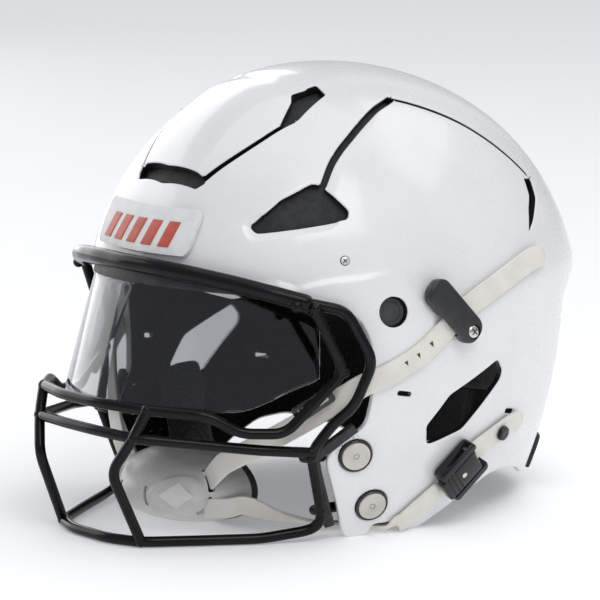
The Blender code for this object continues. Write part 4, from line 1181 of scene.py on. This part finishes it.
def strap(path, more, wide, round_end=True):
    """Strap that lies on the skin along a path, then goes through more stations; its start is round."""
    stations = [(lifted(side, y, z, STRAP_SEAT), outward(side, y, z)) for y, z in path]
    stations = eased(stations + [(Vector(p), Vector(n)) for p, n in more])
    seats = seats_on([p for p, _ in stations], [n for _, n in stations])
    start = []
    if round_end:
        for a in (radians(degrees) for degrees in (4, 20, 38, 56, 74)):
            narrowed = Matrix.Diagonal((sin(a), 1, 1, 1))
            start.append(seats[0] @ Matrix.Translation((0, 0, -wide / 2 * cos(a))) @ narrowed)
    return swept(bmesh.new(), start + seats, bar_outline(wide, STRAP_THICK, STRAP_CORNER))


webbing = Finish("strap_webbing", (0.70, 0.66, 0.57), Sheen_Weight=0.1)
ribs = webbing.node("TexWave", {"Vector": webbing.here(), "Scale": 210.0, "Distortion": 0.6, "Detail": 2.0},
                    out="Fac", wave_type="BANDS", bands_direction="DIAGONAL")
age = webbing.between(webbing.noise(60.0, 4.0), 0.35, 0.7)
grain = webbing.noise(1500.0, 3.0)
webbing.feed(Base_Color=webbing.blend(age, (0.74, 0.715, 0.655), (0.81, 0.785, 0.72)),
             Roughness=webbing.between(grain, 0.3, 0.7, 0.42, 0.56),
             Normal=webbing.bumps(ribs * 0.5 + grain * 0.5, 0.00006))
mark_dark = stuff("mark_dark", (0.03, 0.03, 0.032), (0.05, 0.05, 0.052), 900.0, (0.4, 0.5), 0.00002)
for hand, sign in HANDS:
    for node, run in (("upper_strap", (UPPER_STRAP, UPPER_STRAP_INSIDE, STRAP_WIDE)),
                      ("rear_strap", (REAR_STRAP, (), STRAP_WIDE)),
                      ("jaw_strap", (JAW_STRAP, JAW_STRAP_UNDER, JAW_STRAP_WIDE, False))):
        stand_in(f"{node}_{hand}", "webbing", handed(strap(*run), sign), webbing, "strap_urethane", sharp=50)
    marks = bmesh.new()
    for y, z in SIZE_MARKS:
        seat = seat_on(side, y, z, lift=STRAP_SEAT + STRAP_THICK / 2 - 0.05)
        seat = seat @ Matrix.Rotation(SIZE_MARK_TURN, 4, "Z") @ Matrix.Diagonal((0.8, 1.3, 1, 1))
        bmesh.ops.create_cone(marks, cap_ends=True, segments=3, radius1=SIZE_MARK_RADIUS,
                              radius2=SIZE_MARK_RADIUS, depth=0.25, matrix=seat)
    piece(f"upper_strap_{hand}_marks", handed(marks, sign), mark_dark, "buckle_black")

# Upper buckle
# -------------------------------------------------------------------------------------------------------
# A dark grey keeper plate with a rounded end, screwed to the shell. The upper strap runs through the
# tunnel under it. The domed cross-head screw is nickel plated.
UPPER_BUCKLE, UPPER_BUCKLE_ALONG, BUCKLE_LIFT = (-5.5, 17.5), (0.67, -0.74), 0.9
KEEPER_SIZE, KEEPER_CORNER, KEEPER_EDGE, KEEPER_SCREW_AT = (42.0, 16.0, 6.4), 6.5, 1.2, 16.6
TUNNEL_SIZE, TUNNEL_LOW, TUNNEL_TURN, TUNNEL_AT = (STRAP_WIDE + 3.6, 30.0, 4.6), -0.8, radians(-13), 4.7
KEEPER_BORE = ((0, -3), (2.9, -3), (2.9, 4.6), (4.1, 4.7), (4.1, 9), (0, 9))
KEEPER_SCREW = ((0, 0.2), (2.6, 0.2), (2.6, 4.8), (3.7, 4.9), (3.6, 5.6), (2.9, 6.2), (1.6, 6.6), (0, 6.7))
KEEPER_RECESS = (6.7, 6.45, 0.8, 2.3, 1.4)

keeper_grey = stuff("keeper_grey", (0.016, 0.017, 0.018), (0.026, 0.027, 0.028), 700.0, (0.28, 0.42), 0.00004)
for hand, sign in HANDS:
    seat = seat_on(side, *UPPER_BUCKLE, lift=BUCKLE_LIFT, along=UPPER_BUCKLE_ALONG)
    screw_seat = Matrix.Translation((KEEPER_SCREW_AT, 0, 0))
    tunnel = box_of(TUNNEL_SIZE, low=TUNNEL_LOW, edge=0.4,
                    seat=Matrix.Translation((TUNNEL_AT, 0, 0)) @ Matrix.Rotation(TUNNEL_TURN, 4, "Z"))
    keeper = carved(box_of(KEEPER_SIZE, corner=KEEPER_CORNER, edge=KEEPER_EDGE), tunnel,
                    turned(KEEPER_BORE, screw_seat))
    stand_in(f"upper_buckle_{hand}", "keeper", handed(moved(keeper, seat), sign), keeper_grey, "buckle_black",
             sharp=35)
    fit_screw(f"buckle_screw_{hand}", sign, seat @ screw_seat, KEEPER_SCREW, KEEPER_RECESS, nickel)

# Lower buckle
# -------------------------------------------------------------------------------------------------------
# A cam buckle in gloss black plastic that joins the rear strap to the jaw strap: a frame with two cheeks,
# a ridged lever that flips up about a steel pin, and a small nickel rivet.
LOWER_BUCKLE, LOWER_BUCKLE_ALONG, PIN_AT = (9, -71), (-0.72, -0.69), Vector((-8.0, 0, 5.6))
FRAME_SIZE, FRAME_CORNER, FRAME_EDGE, BAY_SIZE, BAY_LOW = (27.0, 25.0, 8.4), 3.0, 1.3, (36.0, 16.4, 8.0), 1.9
FRAME_BORE = ((0, -14), (1.5, -14), (1.5, 14), (0, 14))
PIN_PROFILE = ((0, -12.3), (1.0, -12.3), (1.2, -12.1), (1.2, 12.1), (1.0, 12.3), (0, 12.3))
LEVER_SIZE, LEVER_LOW, LEVER_SHIFT = (26.0, 15.4, 5.4), 3.1, 2.7
LEVER_TOP = LEVER_LOW + LEVER_SIZE[2]
LEVER_EYE = ((0, -10), (1.5, -10), (1.5, 10), (0, 10))
GROOVES_AT, GROOVE_SIZE, GROOVE_DEEP = (6.0, 9.0, 12.0), (1.3, 20, 2), 0.6
RIVET_AT = (1.5, 0, 0)
RIVET_PROFILE = ((0, LEVER_TOP - 1), (1.6, LEVER_TOP - 1), (1.6, LEVER_TOP + 0.1), (1.2, LEVER_TOP + 0.4),
                 (0, LEVER_TOP + 0.5))
STUD_AT, STUD_LIFT = (39, -55.3), BUCKLE_LIFT + STRAP_THICK + 1.1
STUD_PROFILE = ((0, 0), (4.2, 0), (4.2, 1.2), (3.8, 2.0), (2.6, 2.4), (1.4, 2.2), (0, 2.1))

gloss_plastic = stuff("gloss_plastic", (0.006, 0.006, 0.007), (0.010, 0.010, 0.011), 500.0, (0.1, 0.2),
                      0.00002, Specular_IOR_Level=0.4)
for hand, sign in HANDS:
    seat = seat_on(side, *LOWER_BUCKLE, lift=BUCKLE_LIFT, along=LOWER_BUCKLE_ALONG)
    lying = Matrix.Translation(PIN_AT) @ Matrix.Rotation(pi / 2, 4, "X")
    cheeks = carved(box_of(FRAME_SIZE, corner=FRAME_CORNER, edge=FRAME_EDGE), box_of(BAY_SIZE, low=BAY_LOW),
                    turned(FRAME_BORE, lying, sides=24))
    stand_in(f"lower_buckle_frame_{hand}", "cheeks", handed(moved(cheeks, seat), sign), gloss_plastic,
             "buckle_black", sharp=35)
    pin = turned(PIN_PROFILE, seat @ lying, sides=24)
    stand_in(f"lower_buckle_pin_{hand}", "rod", handed(pin, sign), nickel, "nickel")
    lever = box_of(LEVER_SIZE, low=LEVER_LOW, shift=(LEVER_SHIFT, 0), corner=2.0, edge=1.0)
    grooves = [box_of(GROOVE_SIZE, low=LEVER_TOP - GROOVE_DEEP, shift=(x, 0)) for x in GROOVES_AT]
    lever = moved(carved(lever, turned(LEVER_EYE, lying, sides=24), *grooves), seat)
    stand_in(f"lower_buckle_lever_{hand}", "cam", handed(lever, sign), gloss_plastic, "buckle_black",
             body=f"buckle_lever_{hand}", sharp=35)
    rivet = turned(RIVET_PROFILE, seat @ Matrix.Translation(RIVET_AT), sides=32)
    piece(f"lower_buckle_lever_{hand}_rivet", handed(rivet, sign), nickel, "nickel",
          body=f"buckle_lever_{hand}")
    stud = turned(STUD_PROFILE, seat_on(side, *STUD_AT, lift=STUD_LIFT), sides=40)
    stand_in(f"strap_stud_{hand}", "cap", handed(stud, sign), gloss_plastic, "buckle_black")

# Chin cup
# -------------------------------------------------------------------------------------------------------
# A hard half-egg of pale grey moulded plastic over a foam pad. Its face has a raised oval panel with a
# rhombus on it, and the straps enter by slots at its ends.
CUP_CENTRE, CUP_RADII, CUP_WALL, CUP_BACK = Vector((0, -84, -84.2)), (45, 46, 21.2), 2.8, -80.0
ON_FACE = 0.985
SLOT_DEEP, SLOT_PLAY, SLOT_CORNER = 9.0, (2.4, 1.8), 1.2
RIM_RADII, RIM_Y, RIM_SIZE, RIM_CORNER, RIM_STEPS = (43.6, 19.6), 4.4, (3.6, 5.0), 1.4, 72
PANEL_AT, PANEL_HALF, PANEL_RISE, PANEL_FROM, PANEL_FADE = 26.0, (12.5, 11.0), 1.0, 0.9, 0.14
RHOMBUS_AT, RHOMBUS_HALF, RHOMBUS_LOW, RHOMBUS_HIGH = (27.0, 1.0), (4.4, 4.4), 0.5, 1.9
ARC_SLOT, ARC_SLOT_AT = (2.0, 9.0, 11.0), (10.5, -127.0, -85.0)


def cup_relief(x, z):
    """Height of the chin cup's face above its plain egg."""
    off = sqrt(((abs(x) - PANEL_AT) / PANEL_HALF[0]) ** 2 + (z / PANEL_HALF[1]) ** 2)
    return PANEL_RISE * (1 - smooth((off - PANEL_FROM) / PANEL_FADE))


def on_cup(x, z, offset=0.0):
    """Point of the cup's face at x and z from its centre."""
    spot = Vector((x, -CUP_RADII[1] * sqrt(1 - (x / CUP_RADII[0]) ** 2 - (z / CUP_RADII[2]) ** 2), z))
    normal = Vector([c / r ** 2 for c, r in zip(spot, CUP_RADII)]).normalized()
    return CUP_CENTRE + spot + normal * offset


cup = bmesh.new()
bmesh.ops.create_uvsphere(cup, u_segments=112, v_segments=112, radius=1.0,
                          matrix=Matrix.Rotation(pi / 2, 4, "X"))
bmesh.ops.scale(cup, vec=CUP_RADII, verts=cup.verts)
bmesh.ops.bisect_plane(cup, geom=cup.verts[:] + cup.edges[:] + cup.faces[:],
                       plane_co=(0, CUP_BACK - CUP_CENTRE.y, 0), plane_no=(0, 1, 0), clear_outer=True)
bmesh.ops.recalc_face_normals(cup, faces=cup.faces)
if sum(f.normal.dot(f.calc_center_median()) for f in cup.faces) < 0:
    bmesh.ops.reverse_faces(cup, faces=cup.faces)
cup.normal_update()
bmesh.ops.solidify(cup, geom=cup.faces[:], thickness=CUP_WALL)
bmesh.ops.recalc_face_normals(cup, faces=cup.faces)
cup.normal_update()
for vert in cup.verts:
    x, y, z = vert.co
    if y < 0 and Vector([c / r for c, r in zip(vert.co, CUP_RADII)]).length > ON_FACE:
        vert.co += vert.normal * cup_relief(x, z)
bmesh.ops.translate(cup, vec=CUP_CENTRE, verts=cup.verts)
slots = []
for sign in (1, -1):
    for stations, wide in ((UPPER_STRAP_INSIDE, STRAP_WIDE), (JAW_STRAP_UNDER, JAW_STRAP_WIDE)):
        (before, _), (end, normal) = stations[-2:]
        slot = box_of((wide + SLOT_PLAY[0], STRAP_THICK + SLOT_PLAY[1], SLOT_DEEP), low=-SLOT_DEEP / 2,
                      seat=seats_on([before, end], [normal, normal])[1], corner=SLOT_CORNER)
        slots.append(handed(slot, sign))
    arc = box_of(ARC_SLOT, low=-ARC_SLOT[2] / 2, seat=Matrix.Translation(ARC_SLOT_AT), edge=0.7)
    slots.append(handed(arc, sign))
cup = carved(cup, *slots)
cup_grey = stuff("cup_grey", (0.60, 0.59, 0.57), (0.67, 0.66, 0.64), 900.0, (0.3, 0.42), 0.00006,
                 Coat_Weight=0.2, Coat_Roughness=0.2)
stand_in("chin_cup", "moulding", cup, cup_grey, "cup_white", sharp=45)
for hand, sign in HANDS:
    badge = slab(on_cup, RHOMBUS_AT, RHOMBUS_HALF, (6, 6), RHOMBUS_LOW, RHOMBUS_HIGH, edge=0.35,
                 shape=lambda u, v: ((u - v) * 0.85, (u + v) * 0.75))
    piece(f"chin_cup_{hand}_rhombus", handed(badge, sign), plate_rubber, "cup_white")
rim_foam = stuff("rim_foam", (0.024, 0.024, 0.021), (0.042, 0.042, 0.036), 1200.0, (0.6, 0.8), 0.0002)
ring = [CUP_CENTRE + Vector((RIM_RADII[0] * x, RIM_Y, RIM_RADII[1] * z)) for x, z in circle(1.0, RIM_STEPS)]
ahead = [Vector((0, -1, 0))] * RIM_STEPS
rim = swept(bmesh.new(), seats_on(ring, ahead, ring=True), bar_outline(*RIM_SIZE, RIM_CORNER), ring=True)
piece("chin_cup_rim", rim, rim_foam, "chin_foam")
